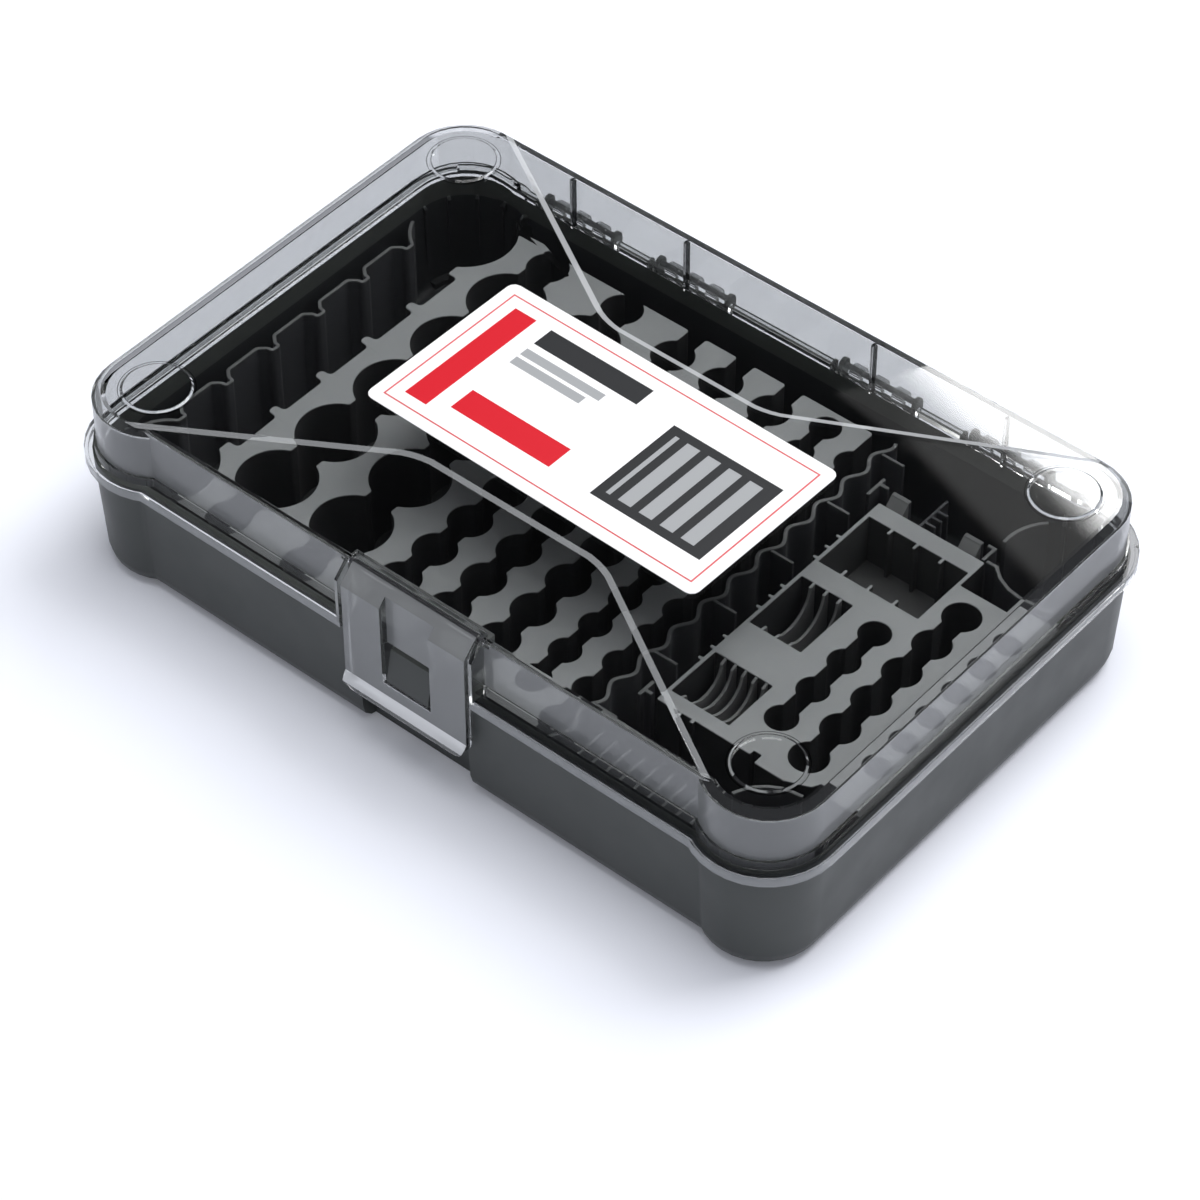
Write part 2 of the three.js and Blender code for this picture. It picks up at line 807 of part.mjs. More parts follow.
function mainDeck() {
  const top = deckZ + overrun;
  const under = trayFootZ - overrun;
  const cornerCuts = (grow, z0, z1) =>
    join([-1, 1].map((sy) => well(-columnX, sy * columnY, cellDRadius + grow, z0, z1, cellDSides)));

  let tray = block(mainLeftX, mainRightX, -deckHalfWidth, deckHalfWidth, trayFootZ, deckZ);
  tray = tray.subtract(cornerCuts(0, under, top)).subtract(blockPockets(0, under, top));
  const inside = deckHalfWidth - trayWall;
  const underDeck = deckZ - deckThickness;
  const hollow = block(mainLeftX + trayWall, mainRightX - trayWall, -inside, inside, under, underDeck)
    .subtract(cornerCuts(trayWall, under, top))
    .subtract(blockPockets(trayWall, under, top));
  tray = tray.subtract(hollow);

  const whole = block(mainLeftX, mainRightX, -deckHalfWidth, deckHalfWidth, trayFootZ, deckZ);
  const joinZ = deckZ - deckThickness / 2;
  const rows = [
    cellCRow(cellCColumns.first),
    cellCRow(cellCColumns.second),
    cellAAARow(cellAAAFirstX, cellAAAFirstY),
  ];
  for (let i = 0; i < cellAAColumnCount; i += 1) rows.push(cellAARow(cellAAFirstX + i * cellAAColumnPitch));
  for (const row of rows) {
    tray = tray.add(rowForm(row, trayWall, trayFootZ, joinZ, deckHalfWidth).intersect(whole));
  }
  const openRow = cellAAARow(cellAAASecondX, cellAAASecondY);
  const edgeRow = wellRow({ ...openRow, grow: trayWall, z0: trayFootZ, z1: joinZ });
  tray = tray.add(edgeRow.intersect(whole));
  tray = tray.add(cellFoot(-1, 1, leftFootAngles.first, leftFootAngles.last));
  tray = tray.add(cellFoot(-1, -1, -leftFootAngles.last, -leftFootAngles.first));
  const floorHalf = cellAAAFirstY + cellAAARadius;
  const floorLeftX = mainRightX - trayWall;
  tray = tray.add(block(floorLeftX, mainFloorRightX, -floorHalf, floorHalf, trayFootZ, wellFloorZ));
  for (const row of rows) {
    tray = tray.subtract(rowForm(row, 0, wellFloorZ, top, deckHalfWidth + overrun));
  }
  return tray.subtract(wellRow({ ...openRow, z0: wellFloorZ, z1: top }));
}

// The deck's trays, from left to right
function mainTrays() {
  const deck = mainDeck();
  const cellAALastX = cellAAFirstX + (cellAAColumnCount - 1) * cellAAColumnPitch;
  const seams = [cellCColumns.first, cellAAFirstX, cellAALastX];
  const starts = [mainLeftX - overrun, ...seams.map((x) => x + gap / 2)];
  const ends = [...seams.map((x) => x - gap / 2), mainFloorRightX + overrun];
  const half = deckHalfWidth + overrun;
  return starts.map((start, i) => deck.intersect(block(start, ends[i], -half, half, 0, totalHeight)));
}

function makeBlockRack() {
  const path = arcPoints(-columnX, columnY, cellArcRadius, rackArcEnd, rackArcStart, rackArcSteps);
  for (const middle of blockMiddles()) {
    path.push([rackCuspX, middle + rackCuspHalfLength]);
    path.push([rackShoulderX, middle + rackCuspHalfLength]);
    path.push([rackFlatX, middle + rackFlatHalfLength]);
    path.push([rackFlatX, middle - rackFlatHalfLength]);
    path.push([rackShoulderX, middle - rackCuspHalfLength]);
    path.push([rackCuspX, middle - rackCuspHalfLength]);
  }
  path.push(...arcPoints(-columnX, -columnY, cellArcRadius, -rackArcStart, -rackArcEnd, rackArcSteps));
  const half = columnY + cellArcRadius;
  const notch = block(rackEndX - overrun, rackEndX + rackNotchLength, -half, half, -overrun, rackNotchTopZ);
  return wallAlong(path, rackThickness, trayFootZ, deckZ).subtract(notch);
}

function makeDivider() {
  const waves = Math.floor((dividerHalfLength * 2) / cellAAAPitch);
  const steps = waves * waveSteps;
  const path = [];
  for (let i = 0; i <= steps; i += 1) {
    const y = dividerHalfLength - (i * dividerHalfLength * 2) / steps;
    const phase = (2 * Math.PI * (y - cellAAASecondY)) / cellAAAPitch;
    path.push([dividerX + dividerSwing * Math.cos(phase), y]);
  }
  let wall = wallAlong(path, dividerThickness, trayFootZ, deckZ);
  const finCount = wellCount(dividerFinFirstY, dividerFinPitch, dividerFinThickness);
  for (let i = 0; i < finCount; i += 1) {
    const y = dividerFinFirstY - i * dividerFinPitch;
    const half = dividerFinThickness / 2;
    wall = wall.add(block(dividerX, dividerFinTipX, y - half, y + half, trayFootZ, deckZ));
  }
  const keep = block(
    dividerX + dividerSwing,
    dividerFinTipX,
    -dividerHalfLength,
    dividerHalfLength,
    trayFootZ,
    deckZ,
  );
  const left = block(
    mainFloorRightX,
    dividerX + dividerSwing,
    -dividerHalfLength - overrun,
    dividerHalfLength + overrun,
    trayFootZ,
    deckZ,
  );
  return wall.intersect(keep.add(left));
}

function coinRack(rack) {
  const middle = (rack.backY + rack.frontY) / 2;
  const half = (rack.backY - rack.frontY) / 2;
  const reach = half - coinTabLength;
  const sweep = (reach * reach + rack.dip * rack.dip) / (2 * rack.dip);
  const swing = Math.asin(reach / sweep) / degree;
  const arc = arcPoints(middle, deckZ - rack.dip + sweep, sweep, -90 - swing, -90 + swing, coinArcSteps);
  const profile = [
    [middle - half - bond, coinFloorZ - bond],
    [middle + half + bond, coinFloorZ - bond],
    [middle + half + bond, deckZ],
    ...arc.reverse(),
    [middle - half - bond, deckZ],
  ];
  const ribs = [];
  for (let i = 0; i < rack.count; i += 1) {
    const x = rack.firstX + i * rack.pitch;
    ribs.push(barAlongX(profile, x - coinRibThickness / 2, x + coinRibThickness / 2));
  }
  return join(ribs);
}

function sideOutline(inset) {
  const corner = sideCornerLength;
  return [
    [sideLeftX + inset, sideFrontY + inset],
    [sideFrontStepX, sideFrontY + inset],
    [sideFrontStepX, sideFrontY + sideNotchDepth + inset],
    [sideFrontStepX + sideNotchLength, sideFrontY + sideNotchDepth + inset],
    [sideFrontStepX + sideNotchLength, sideFrontRightY + inset],
    [sideSecondNotchX, sideFrontRightY + inset],
    [sideRightX - inset - corner / 4, sideFrontRightY + corner / 2],
    [sideRightX - inset, sideFrontRightY + corner],
    [sideRightX - inset, sideShoulderY - inset],
    [sideStepX - inset, sideShoulderY - inset],
    [sideStepX - inset, sideBackY - inset],
    [sideLeftX + inset, sideBackY - inset],
  ];
}

function makeSideTray() {
  const top = deckZ + overrun;
  const under = trayFootZ - overrun;
  const pocket = (rack, grow, z0, z1) =>
    block(pocketStripX - grow, rack.rightX + grow, rack.frontY - grow, rack.backY + grow, z0, z1);
  const deepBox = { rightX: deepBoxRightX, frontY: deepBoxFrontY, backY: deepBoxBackY };
  const rows = [
    {
      ...slimRow,
      count: wellCount(slimRow.firstY, slimRow.pitch, slimRow.radius, sideFrontY),
      sides: smallSides,
    },
    {
      ...stoutRow,
      count: wellCount(stoutRow.firstY, stoutRow.pitch, stoutRow.radius, sideFrontRightY),
      sides: cellAASides,
    },
  ];
  const whole = prism(sideOutline(0), trayFootZ, deckZ);

  let tray = whole.subtract(prism(sideOutline(trayWall), under, deckZ - deckThickness));
  const joinZ = deckZ - deckThickness / 2;
  tray = tray.add(pocket(deepBox, trayWall, deepBoxFloorZ - trayWall, joinZ).intersect(whole));
  for (const rack of [largeCoinRack, smallCoinRack]) {
    tray = tray.add(pocket(rack, trayWall, coinFloorZ - trayWall, joinZ).intersect(whole));
  }
  for (const row of rows) {
    tray = tray.add(wellRow({ ...row, grow: trayWall, z0: trayFootZ, z1: joinZ }).intersect(whole));
  }
  tray = tray.subtract(pocket(deepBox, 0, deepBoxFloorZ, top));
  for (const rack of [largeCoinRack, smallCoinRack]) {
    tray = tray.subtract(pocket(rack, 0, coinFloorZ, top)).add(coinRack(rack));
  }
  for (const row of rows) tray = tray.subtract(wellRow({ ...row, z0: wellFloorZ, z1: top }));

  for (let i = 0; i < deepBoxRibCount; i += 1) {
    const x = deepBoxRibFirstX + i * deepBoxRibPitch;
    const half = deepBoxRibThickness / 2;
    const backRib = deepBoxBackY - deepBoxRibLength;
    const frontRib = deepBoxFrontY + deepBoxRibLength;
    tray = tray.add(block(x - half, x + half, backRib, deepBoxBackY + bond, deepBoxFloorZ - bond, deckZ));
    tray = tray.add(block(x - half, x + half, deepBoxFrontY - bond, frontRib, deepBoxFloorZ - bond, deckZ));
  }
  const groupLength = (sideToothCount - 1) * sideToothPitch;
  const groups = wellCount(sideToothFirstY, sideToothGroupPitch, groupLength, sideFrontY);
  for (let group = 0; group < groups; group += 1) {
    for (let i = 0; i < sideToothCount; i += 1) {
      const y = sideToothFirstY - group * sideToothGroupPitch - i * sideToothPitch;
      const half = sideToothThickness / 2;
      const tipX = sideLeftX - sideToothLength;
      tray = tray.add(block(tipX, sideLeftX + bond, y - half, y + half, trayFootZ, deckZ));
    }
  }
  for (let i = 0; i < frontPostCount; i += 1) {
    const x = frontPostFirstX + i * frontPostPitch;
    const half = frontPostSize / 2;
    const front = sideFrontY - frontPostSize;
    tray = tray.add(block(x - half, x + half, front, sideFrontY + bond, trayFootZ, deckZ));
  }
  return tray;
}

function makeStrip() {
  const top = deckZ + overrun;
  const row = { x: stripWellX, radius: stripWellRadius, sides: smallSides };
  const profile = [
    [stripLeftX, trayFootZ],
    [stripFootX - stripFootChamfer, trayFootZ],
    [stripFootX, trayFootZ + stripFootChamfer],
    [stripRightX, deckZ],
    [stripLeftX, deckZ],
  ];
  let strip = barAlongY(profile, stripFrontY, stripBackY);
  strip = strip.subtract(
    block(
      stripLeftX + trayWall,
      stripFootX - stripFootChamfer - trayWall / 2,
      stripFrontY + trayWall,
      stripBackY - trayWall,
      trayFootZ - overrun,
      deckZ - deckThickness,
    ),
  );
  const wells = wellCount(stripWellFirstY, stripWellPitch, stripWellRadius + stripNotchDepth, stripFrontY);
  for (let i = 0; i < wells; i += 1) {
    const y = stripWellFirstY - i * stripWellPitch;
    const tube = well(row.x, y, row.radius + trayWall, trayFootZ, deckZ - deckThickness / 2, row.sides);
    strip = strip.add(tube).subtract(well(row.x, y, row.radius, wellFloorZ, top, row.sides));
  }
  const notchEnd = stripFrontY + stripNotchDepth;
  const notchRightX = stripLeftX + stripNotchLength;
  const notch = block(stripLeftX - overrun, notchRightX, stripFrontY - overrun, notchEnd, 0, top);
  const notchWall = block(
    stripLeftX,
    stripLeftX + stripNotchLength + trayWall,
    stripFrontY,
    notchEnd + trayWall,
    trayFootZ,
    deckZ,
  );
  return strip.add(notchWall).subtract(notch);
}

function ringPiece(x, y, inner, outer, start, end, steps, z0, z1) {
  const points = [...arcPoints(x, y, outer, start, end, steps), ...arcPoints(x, y, inner, end, start, steps)];
  return prism(points, z0, z1);
}

// A low ring that joins the parts of a wall and holds the cell level with the tub's ledge
function cellFoot(sx, sy, start, end) {
  const outer = cellArcRadius - arcWallThickness / 2 + bond;
  const z1 = tubFloor + ledgeHeight;
  return ringPiece(sx * columnX, sy * columnY, arcFootInner, outer, start, end, 10, trayFootZ, z1);
}

function makeBackCellWall() {
  const half = arcWallThickness / 2;
  const inner = cellArcRadius - half;
  const outer = cellArcRadius + half;
  const { first, gapStart, gapEnd, last } = backArcAngles;
  const wall = (start, end, steps) =>
    ringPiece(columnX, columnY, inner, outer, start, end, steps, trayFootZ, deckZ);
  const foot = cellFoot(1, 1, first, last);
  const hookY = columnY + cellArcRadius * Math.sin(gapEnd * degree);
  const hookX = columnX + cellArcRadius * Math.cos(gapEnd * degree);
  const hook = block(hookX - hookLength, hookX + half, hookY - half, hookY + half, trayFootZ, deckZ);
  return join([foot, wall(first, gapStart, 6), wall(gapEnd, last, 5), hook]);
}

function makeFrontCellWall() {
  const inner = cellArcRadius - arcWallThickness / 2;
  const outer = cellArcRadius + arcWallThickness / 2;
  const { first, last, footLast } = frontArcAngles;
  const wall = ringPiece(columnX, -columnY, inner, outer, first, last, 6, trayFootZ, deckZ);
  return wall.add(cellFoot(1, -1, first, footLast));
}

function clipPost(x) {
  const inner = clipPostBackY - clipPostThickness;
  const profile = [
    [inner, trayFootZ],
    [clipPostBackY, trayFootZ],
    [clipPostBackY, deckZ],
    [inner, deckZ],
    [cradleFrontY, clipPostNoseZ],
    [cradleFrontY, clipPostNoseZ - clipPostNoseHeight],
    [inner, clipPostNoseZ - clipPostNoseHeight],
  ];
  return barAlongX(profile, x, x + clipPostLength);
}

function makeCradle() {
  const half = cradleWall / 2;
  const legFront = guideLegY - half;
  const legBack = guideLegY + half;
  const combHalf = combThickness / 2;
  const left = cradleLeftX + cradleWall;
  const right = cradleRightX - cradleWall;
  const parts = [
    block(cradleLeftX, cradleFootX, cradleFrontY, cradleBackY, trayFootZ, wellFloorZ),
    block(cradleFootX - bond, cradleRightX, cradleFrontY, legBack, trayFootZ, wellFloorZ),
    block(cradleLeftX, left, cradleFrontY, guideBackY, trayFootZ, deckZ),
    block(left - bond, cradleLeftX + guideLegLength + half, legFront, legBack, trayFootZ, deckZ),
    block(right, cradleRightX, cradleFrontY, legBack, trayFootZ, deckZ),
    block(right - rightGuideLegLength, right + bond, legFront, legBack, trayFootZ, deckZ),
    clipPost(clipPostLeftX),
    clipPost(clipPostRightX),
    block(combX - combHalf, combX + combHalf, cradleFrontY, cradleBackY, trayFootZ, combTopZ),
  ];
  for (let i = 0; i < combToothCount; i += 1) {
    const y = combToothFirstY - i * combToothPitch;
    parts.push(block(combX, combToothEndX, y - combHalf, y + combHalf, trayFootZ, combTopZ));
  }
  return join(parts);
}

function makeSlotRack() {
  const half = cradleWall / 2;
  const legBack = frontGuideLegY + half;
  const legTipX = frontGuideLeftX + frontGuideLegLength;
  const linkRightX = sideLeftX - gap * 2;
  const parts = [
    block(slotLeftX, slotRightX, slotFrontY, slotBackY, trayFootZ, wellFloorZ),
    block(slotLinkX, linkRightX, slotBackY - bond, frontGuideFrontY, trayFootZ, wellFloorZ),
    block(slotLeftX, slotRightX, slotFrontY, slotFrontY + trayWall, trayFootZ, deckZ),
    block(frontGuideLeftX, linkRightX, frontGuideFrontY - cradleWall, frontGuideBackY, trayFootZ, wellFloorZ),
    block(
      frontGuideLeftX,
      frontGuideLeftX + cradleWall,
      frontGuideFrontY,
      frontGuideBackY,
      trayFootZ,
      deckZ,
    ),
    block(frontGuideLeftX, legTipX, legBack - cradleWall, legBack, trayFootZ, deckZ),
  ];
  for (let i = 0; i < slotCount; i += 1) {
    const x = slotLeftX + slotPitch / 2 + i * slotPitch;
    const thick = slotRibThickness / 2;
    parts.push(block(x - thick, x + thick, slotFrontY, slotBackY, trayFootZ, deckZ));
  }
  return join(parts);
}

// Lid

function lidShell() {
  const bevel = { bevelIn: lidBevelIn, bevelDown: lidBevelDown };
  const edge = { bevelIn: lidEdgeBreak, bevelDown: lidEdgeBreak };
  const base = rimHeight + gap;
  const outer = caseForm({
    column: lidColumnRadius,
    frontY: lidFrontY,
    backY: lidBackY,
    z0: base,
    z1: lidTopZ,
    wallStyle: bevel,
    longStyle: edge,
  });
  const skirt = caseForm({
    column: lidColumnRadius + lidSkirtStep,
    frontY: lidFrontY + lidSkirtStep,
    backY: lidBackY,
    z0: base,
    z1: lidSkirtStepZ,
    wallStyle: {},
  });
  const inner = caseForm({
    column: lidColumnRadius - lidWall,
    frontY: lidFrontY - lidWall,
    backY: lidBackY - lidWall,
    z0: base - overrun,
    z1: lidTopZ - lidWall,
    wallStyle: bevel,
    longStyle: edge,
  });
  const flange = flangeRing();
  const side = earHalfGap + earThickness;
  const bay = block(
    latchMiddleX - earHalfGap,
    latchMiddleX + earHalfGap,
    -flangeHalfWidth - overrun,
    -bayWallY,
    lipBottomZ - overrun,
    totalHeight + overrun,
  );
  const bayCase = block(
    latchMiddleX - side,
    latchMiddleX + side,
    -flangeHalfWidth - overrun,
    -bayWallY + lidWall,
    lipBottomZ - overrun * 2,
    totalHeight,
  );
  return outer.add(skirt).add(flange).add(latchEars()).subtract(inner.subtract(bayCase)).subtract(bay);
}

function flangeOutline(inset, z0, z1) {
  const radius = flangeCornerRadius - inset;
  const parts = [];
  for (const sx of [-1, 1]) {
    for (const sy of [-1, 1]) parts.push(post(sx * columnX, sy * columnY, radius, z0, z1, columnSides));
  }
  const long = flangeHalfLength - inset;
  parts.push(block(-long, long, -columnY, columnY, z0, z1));
  parts.push(block(-columnX, columnX, -flangeFrontY + inset, flangeBackY - inset, z0, z1));
  return join(parts);
}

function flangeRing() {
  const plateZ = rimHeight + gap;
  const span = flangeHalfLength + overrun;
  const keep = block(-span, span, -span, flangeBackLimitY, lipBottomZ, flangeTopZ);
  let ring = flangeOutline(0, plateZ, flangeTopZ).intersect(keep);
  const lip = flangeOutline(0, lipBottomZ, plateZ + bond)
    .subtract(flangeOutline(lipThickness, lipBottomZ - overrun, plateZ + overrun))
    .intersect(block(-span, span, -span, lipBackLimitY, lipBottomZ, flangeTopZ));
  ring = ring.add(lip);
  for (const centre of hingeCentres) {
    ring = ring.subtract(
      block(
        centre - stopPostOffset - stopPostSize,
        centre + hingeHalfLength + gap * 2,
        lidBackY + bond,
        flangeHalfWidth + overrun,
        lipBottomZ - overrun,
        flangeTopZ + overrun,
      ),
    );
  }
  return ring;
}

function latchEars() {
  const profile = [
    [-bayWallY + lidWall, rimHeight + gap],
    [-bayWallY + lidWall, lidTopZ],
    [-lidFrontY, lidTopZ],
    [-earFrontY, earShoulderZ],
    [-earFrontY, rimHeight + gap],
  ];
  const ears = [-1, 1].map((side) => {
    const inner = latchMiddleX + side * earHalfGap;
    const outer = inner + side * earThickness;
    return barAlongX(profile, Math.min(inner, outer), Math.max(inner, outer));
  });
  return join(ears);
}

function hingeClip(x) {
  const arm = block(
    x - clipLength / 2,
    x + clipLength / 2,
    lidBackY - bond,
    hingeAxisY - hingePinRadius - gap,
    hingeAxisZ - clipArmThickness / 2,
    hingeAxisZ + clipArmThickness / 2,
  );
  const half = clipLength / 2;
  const ring = rodAlongX(hingeAxisY, hingeAxisZ, clipRadius, x - half, x + half, clipSides);
  const boreRadius = hingePinRadius + gap;
  const bore = rodAlongX(hingeAxisY, hingeAxisZ, boreRadius, x - clipLength, x + clipLength, clipSides);
  const mouth = block(
    x - clipLength,
    x + clipLength,
    hingeAxisY - clipMouth / 2,
    hingeAxisY + clipMouth / 2,
    hingeAxisZ - clipRadius - overrun,
    hingeAxisZ,
  );
  return ring.add(arm).subtract(bore).subtract(mouth);
}

// A sunk panel in the top, wide at the edge it runs out of and narrow towards the middle. The side
// is 1 at the back and -1 at the front.
function sunkPanel(side, edgeY, { leftX, bendLeftX, bendRightX, rightX }) {
  const reachShare = (edgeY + panelRunOut - panelLineY) / (edgeY - panelLineY);
  const farY = side * (edgeY + panelRunOut);
  const path = [
    [bendLeftX + (leftX - bendLeftX) * reachShare, farY],
    [bendLeftX, side * panelLineY],
    [bendRightX, side * panelLineY],
    [bendRightX + (rightX - bendRightX) * reachShare, farY],
  ];
  if (side < 0) path.reverse();
  const line = rounded(path, panelBendRadius, panelBendSteps);
  const ring = (slope, z) => moved(line, -slope).map(([x, y]) => [x, y, z]);
  const foot = ring(0, lidTopZ - panelDepth);
  return loft([foot, ring(panelSlope, lidTopZ), ring(panelSlope, lidTopZ + overrun)]);
}

// A closed solid through rings of equally many points, lowest ring first, seen anticlockwise
function loft(rings) {
  const count = rings[0].length;
  const positions = rings.flat(2);
  const index = [];
  for (let level = 0; level + 1 < rings.length; level += 1) {
    for (let i = 0; i < count; i += 1) {
      const a = level * count + i;
      const b = level * count + ((i + 1) % count);
      index.push(a, b, b + count, a, b + count, a + count);
    }
  }
  const last = (rings.length - 1) * count;
  for (let i = 1; i + 1 < count; i += 1) {
    index.push(0, i + 1, i);
    index.push(last, last + i, last + i + 1);
  }
  const geometry = new THREE.BufferGeometry();
  geometry.setAttribute("position", new THREE.Float32BufferAttribute(positions, 3));
  geometry.setIndex(index);
  return toSolid(geometry);
}

function makeLid() {
  let lid = lidShell();
  lid = lid.subtract(sunkPanel(1, lidBackY, backPanel)).subtract(sunkPanel(-1, lidFrontY, frontPanel));
  for (const sx of [-1, 1]) {
    for (const sy of [-1, 1]) {
      const boss = post(
        sx * columnX,
        sy * columnY,
        bossRadius,
        lidTopZ - bond,
        totalHeight,
        cellDSides,
        bossRadius - bossSlope,
      );
      lid = lid.add(boss);
    }
  }
  for (const centre of hingeCentres) {
    for (const side of [-1, 0, 1]) lid = lid.add(hingeClip(centre + side * clipStep));
    const fin = block(
      centre - finThickness / 2,
      centre + finThickness / 2,
      lidBackY - lidWall - finDepth,
      lidBackY - lidWall + bond,
      flangeTopZ,
      lidTopZ - finInset,
    );
    lid = lid.add(fin);
  }
  const pinHole = rodAlongX(
    -latchPinY,
    latchPinZ,
    latchPinRadius + gap,
    latchMiddleX - earHalfGap - earThickness - overrun,
    latchMiddleX + earHalfGap + earThickness + overrun,
    pinSides,
  );
  return lid.subtract(pinHole);
}

function roundedRectangle(halfLength, halfWidth, corner, steps) {
  return [
    ...arcPoints(halfLength - corner, halfWidth - corner, corner, 0, 90, steps),
    ...arcPoints(corner - halfLength, halfWidth - corner, corner, 90, 180, steps),
    ...arcPoints(corner - halfLength, corner - halfWidth, corner, 180, 270, steps),
    ...arcPoints(halfLength - corner, corner - halfWidth, corner, 270, 360, steps),
  ];
}

function makeCard() {
  const z0 = lidTopZ + cardGap;
  const card = prism(roundedRectangle(cardLength / 2, cardWidth / 2, cardCorner, 3), z0, z0 + cardThickness);
  return card.rotate([0, 0, cardTurn]).translate([cardX, cardY, 0]);
}

// Latch

// The flap's section: a barrel round the pin, a slope, an upright face and an out-turned lip
function flapSection(thickness) {
  const inner = -latchFaceY + thickness;
  const fall = thickness * Math.SQRT2 - thickness;
  const tangent = latchBarrelRadius * Math.SQRT1_2;
  return [
    [-latchPinY, latchPinZ],
    [-latchPinY - tangent, latchPinZ + tangent],
    [-latchFaceY, latchShoulderZ],
    [-latchFaceY, latchLipTopZ],
    [-latchLipY, latchLipNoseZ],
    [-latchLipFootY, latchBottomZ],
    [-latchLipFootY + latchThickness, latchBottomZ],
    [inner, latchLipNoseZ],
    [inner, latchShoulderZ - fall],
  ];
}

function latchFace(halfLength, z1) {
  const corner = latchCornerRadius;
  return [
    ...arcPoints(halfLength - corner, latchBottomZ + corner, corner, -90, 0, 4),
    [halfLength, z1],
    [-halfLength, z1],
    ...arcPoints(corner - halfLength, latchBottomZ + corner, corner, 180, 270, 4),
  ];
}

function makeLatch() {
  const top = latchPinZ + latchBarrelRadius + overrun;
  const outer = -latchFaceY - pocketDepth - overrun;
  const mid = latchMiddleX;
  const left = mid - latchHalfLength;
  const right = mid + latchHalfLength;
  let flap = barAlongX(flapSection(latchThickness), left, right);

  // Shallow returns down both sides, kept clear of the tub's wall
  const deep = barAlongX(flapSection(latchThickness + latchSideReturn), left, right);
  const core = block(left + latchSideThickness, right - latchSideThickness, outer, 0, 0, top);
  flap = flap.add(deep.subtract(core));
  const face = barAlongY(latchFace(latchHalfLength, top), outer, 0).translate([mid, 0, 0]);
  flap = flap.intersect(face);

  // The sunk tongue, a shallow tray behind the face that ends above the window
  const tongueBackY = -latchFaceY + pocketDepth + pocketWall;
  const pocketZ = latchShoulderZ + pocketDepth;
  const trayBlock = barAlongX(
    [
      [-latchFaceY + latchThickness / 2, tongueBottomZ],
      [tongueBackY, tongueBottomZ],
      [tongueBackY, pocketZ],
      [-latchFaceY + pocketDepth, pocketZ],
      [-latchFaceY + latchThickness / 2, latchShoulderZ],
    ],
    mid - pocketLeftX - pocketWall,
    mid + pocketRightX + pocketWall,
  );
  const cut = block(
    mid - pocketLeftX,
    mid + pocketRightX,
    outer,
    -latchFaceY + pocketDepth,
    windowBottomZ,
    top,
  );
  flap = flap.add(trayBlock).subtract(cut);

  const barrel = rodAlongX(-latchPinY, latchPinZ, latchBarrelRadius, left, right, pinSides);
  const boreRadius = latchPinRadius + gap;
  const bore = rodAlongX(-latchPinY, latchPinZ, boreRadius, left - overrun, right + overrun, pinSides);
  return flap.add(barrel).subtract(bore);
}

function makeLatchPin() {
  const left = latchMiddleX - latchPinHalfLength;
  const right = latchMiddleX + latchPinHalfLength;
  return rodAlongX(-latchPinY, latchPinZ, latchPinRadius, left, right, pinSides);
}

// Assembly

const darkPlastic = { color: 0x4b4e50, roughness: 0.45, metalness: 0 };
const trayPlastic = { color: 0x84888a, roughness: 0.55, metalness: 0 };
const clearPlastic = { color: 0x9aa0a4, roughness: 0.08, metalness: 0, transparent: true, opacity: 0.35 };
const cardPaper = { color: 0xf4f4f4, roughness: 0.7, metalness: 0 };
const pinSteel = { color: 0x2a2c2e, roughness: 0.35, metalness: 0.6 };

function piece(name, solid, finish) {
  const mesh = new THREE.Mesh(toGeometry(solid), new THREE.MeshStandardMaterial(finish));
  mesh.name = name;
  return mesh;
}

const group = new THREE.Group();

const base = new THREE.Group();
base.add(piece("base_tub", makeTub(), darkPlastic));
const trayNames = ["nine_volt_tray", "c_cell_tray", "aa_cell_tray", "aaa_cell_tray"];
mainTrays().forEach((tray, i) => base.add(piece(trayNames[i], tray, trayPlastic)));
base.add(piece("nine_volt_rack", makeBlockRack(), trayPlastic));
base.add(piece("divider_wall", makeDivider(), trayPlastic));
base.add(piece("side_tray", makeSideTray(), trayPlastic));
base.add(piece("small_cell_strip", makeStrip(), trayPlastic));
base.add(piece("d_cell_wall_back_right", makeBackCellWall(), trayPlastic));
base.add(piece("d_cell_wall_front_right", makeFrontCellWall(), trayPlastic));
base.add(piece("tester_cradle", makeCradle(), trayPlastic));
base.add(piece("slot_rack", makeSlotRack(), trayPlastic));
hingeCentres.forEach((centre, i) => base.add(piece(`hinge_pin_${i + 1}`, makeHingePin(centre), darkPlastic)));

const cover = new THREE.Group();
cover.add(piece("lid", makeLid(), clearPlastic));
cover.add(piece("lid_card", makeCard(), cardPaper));
cover.add(piece("latch_pin", makeLatchPin(), pinSteel));

const flap = new THREE.Group();
flap.add(piece("latch", makeLatch(), clearPlastic));
cover.add(flap);

group.add(base, cover);

export default group;
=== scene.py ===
import json
import math

import bmesh
import bpy
import numpy as np
from mathutils import Matrix, Quaternion, Vector

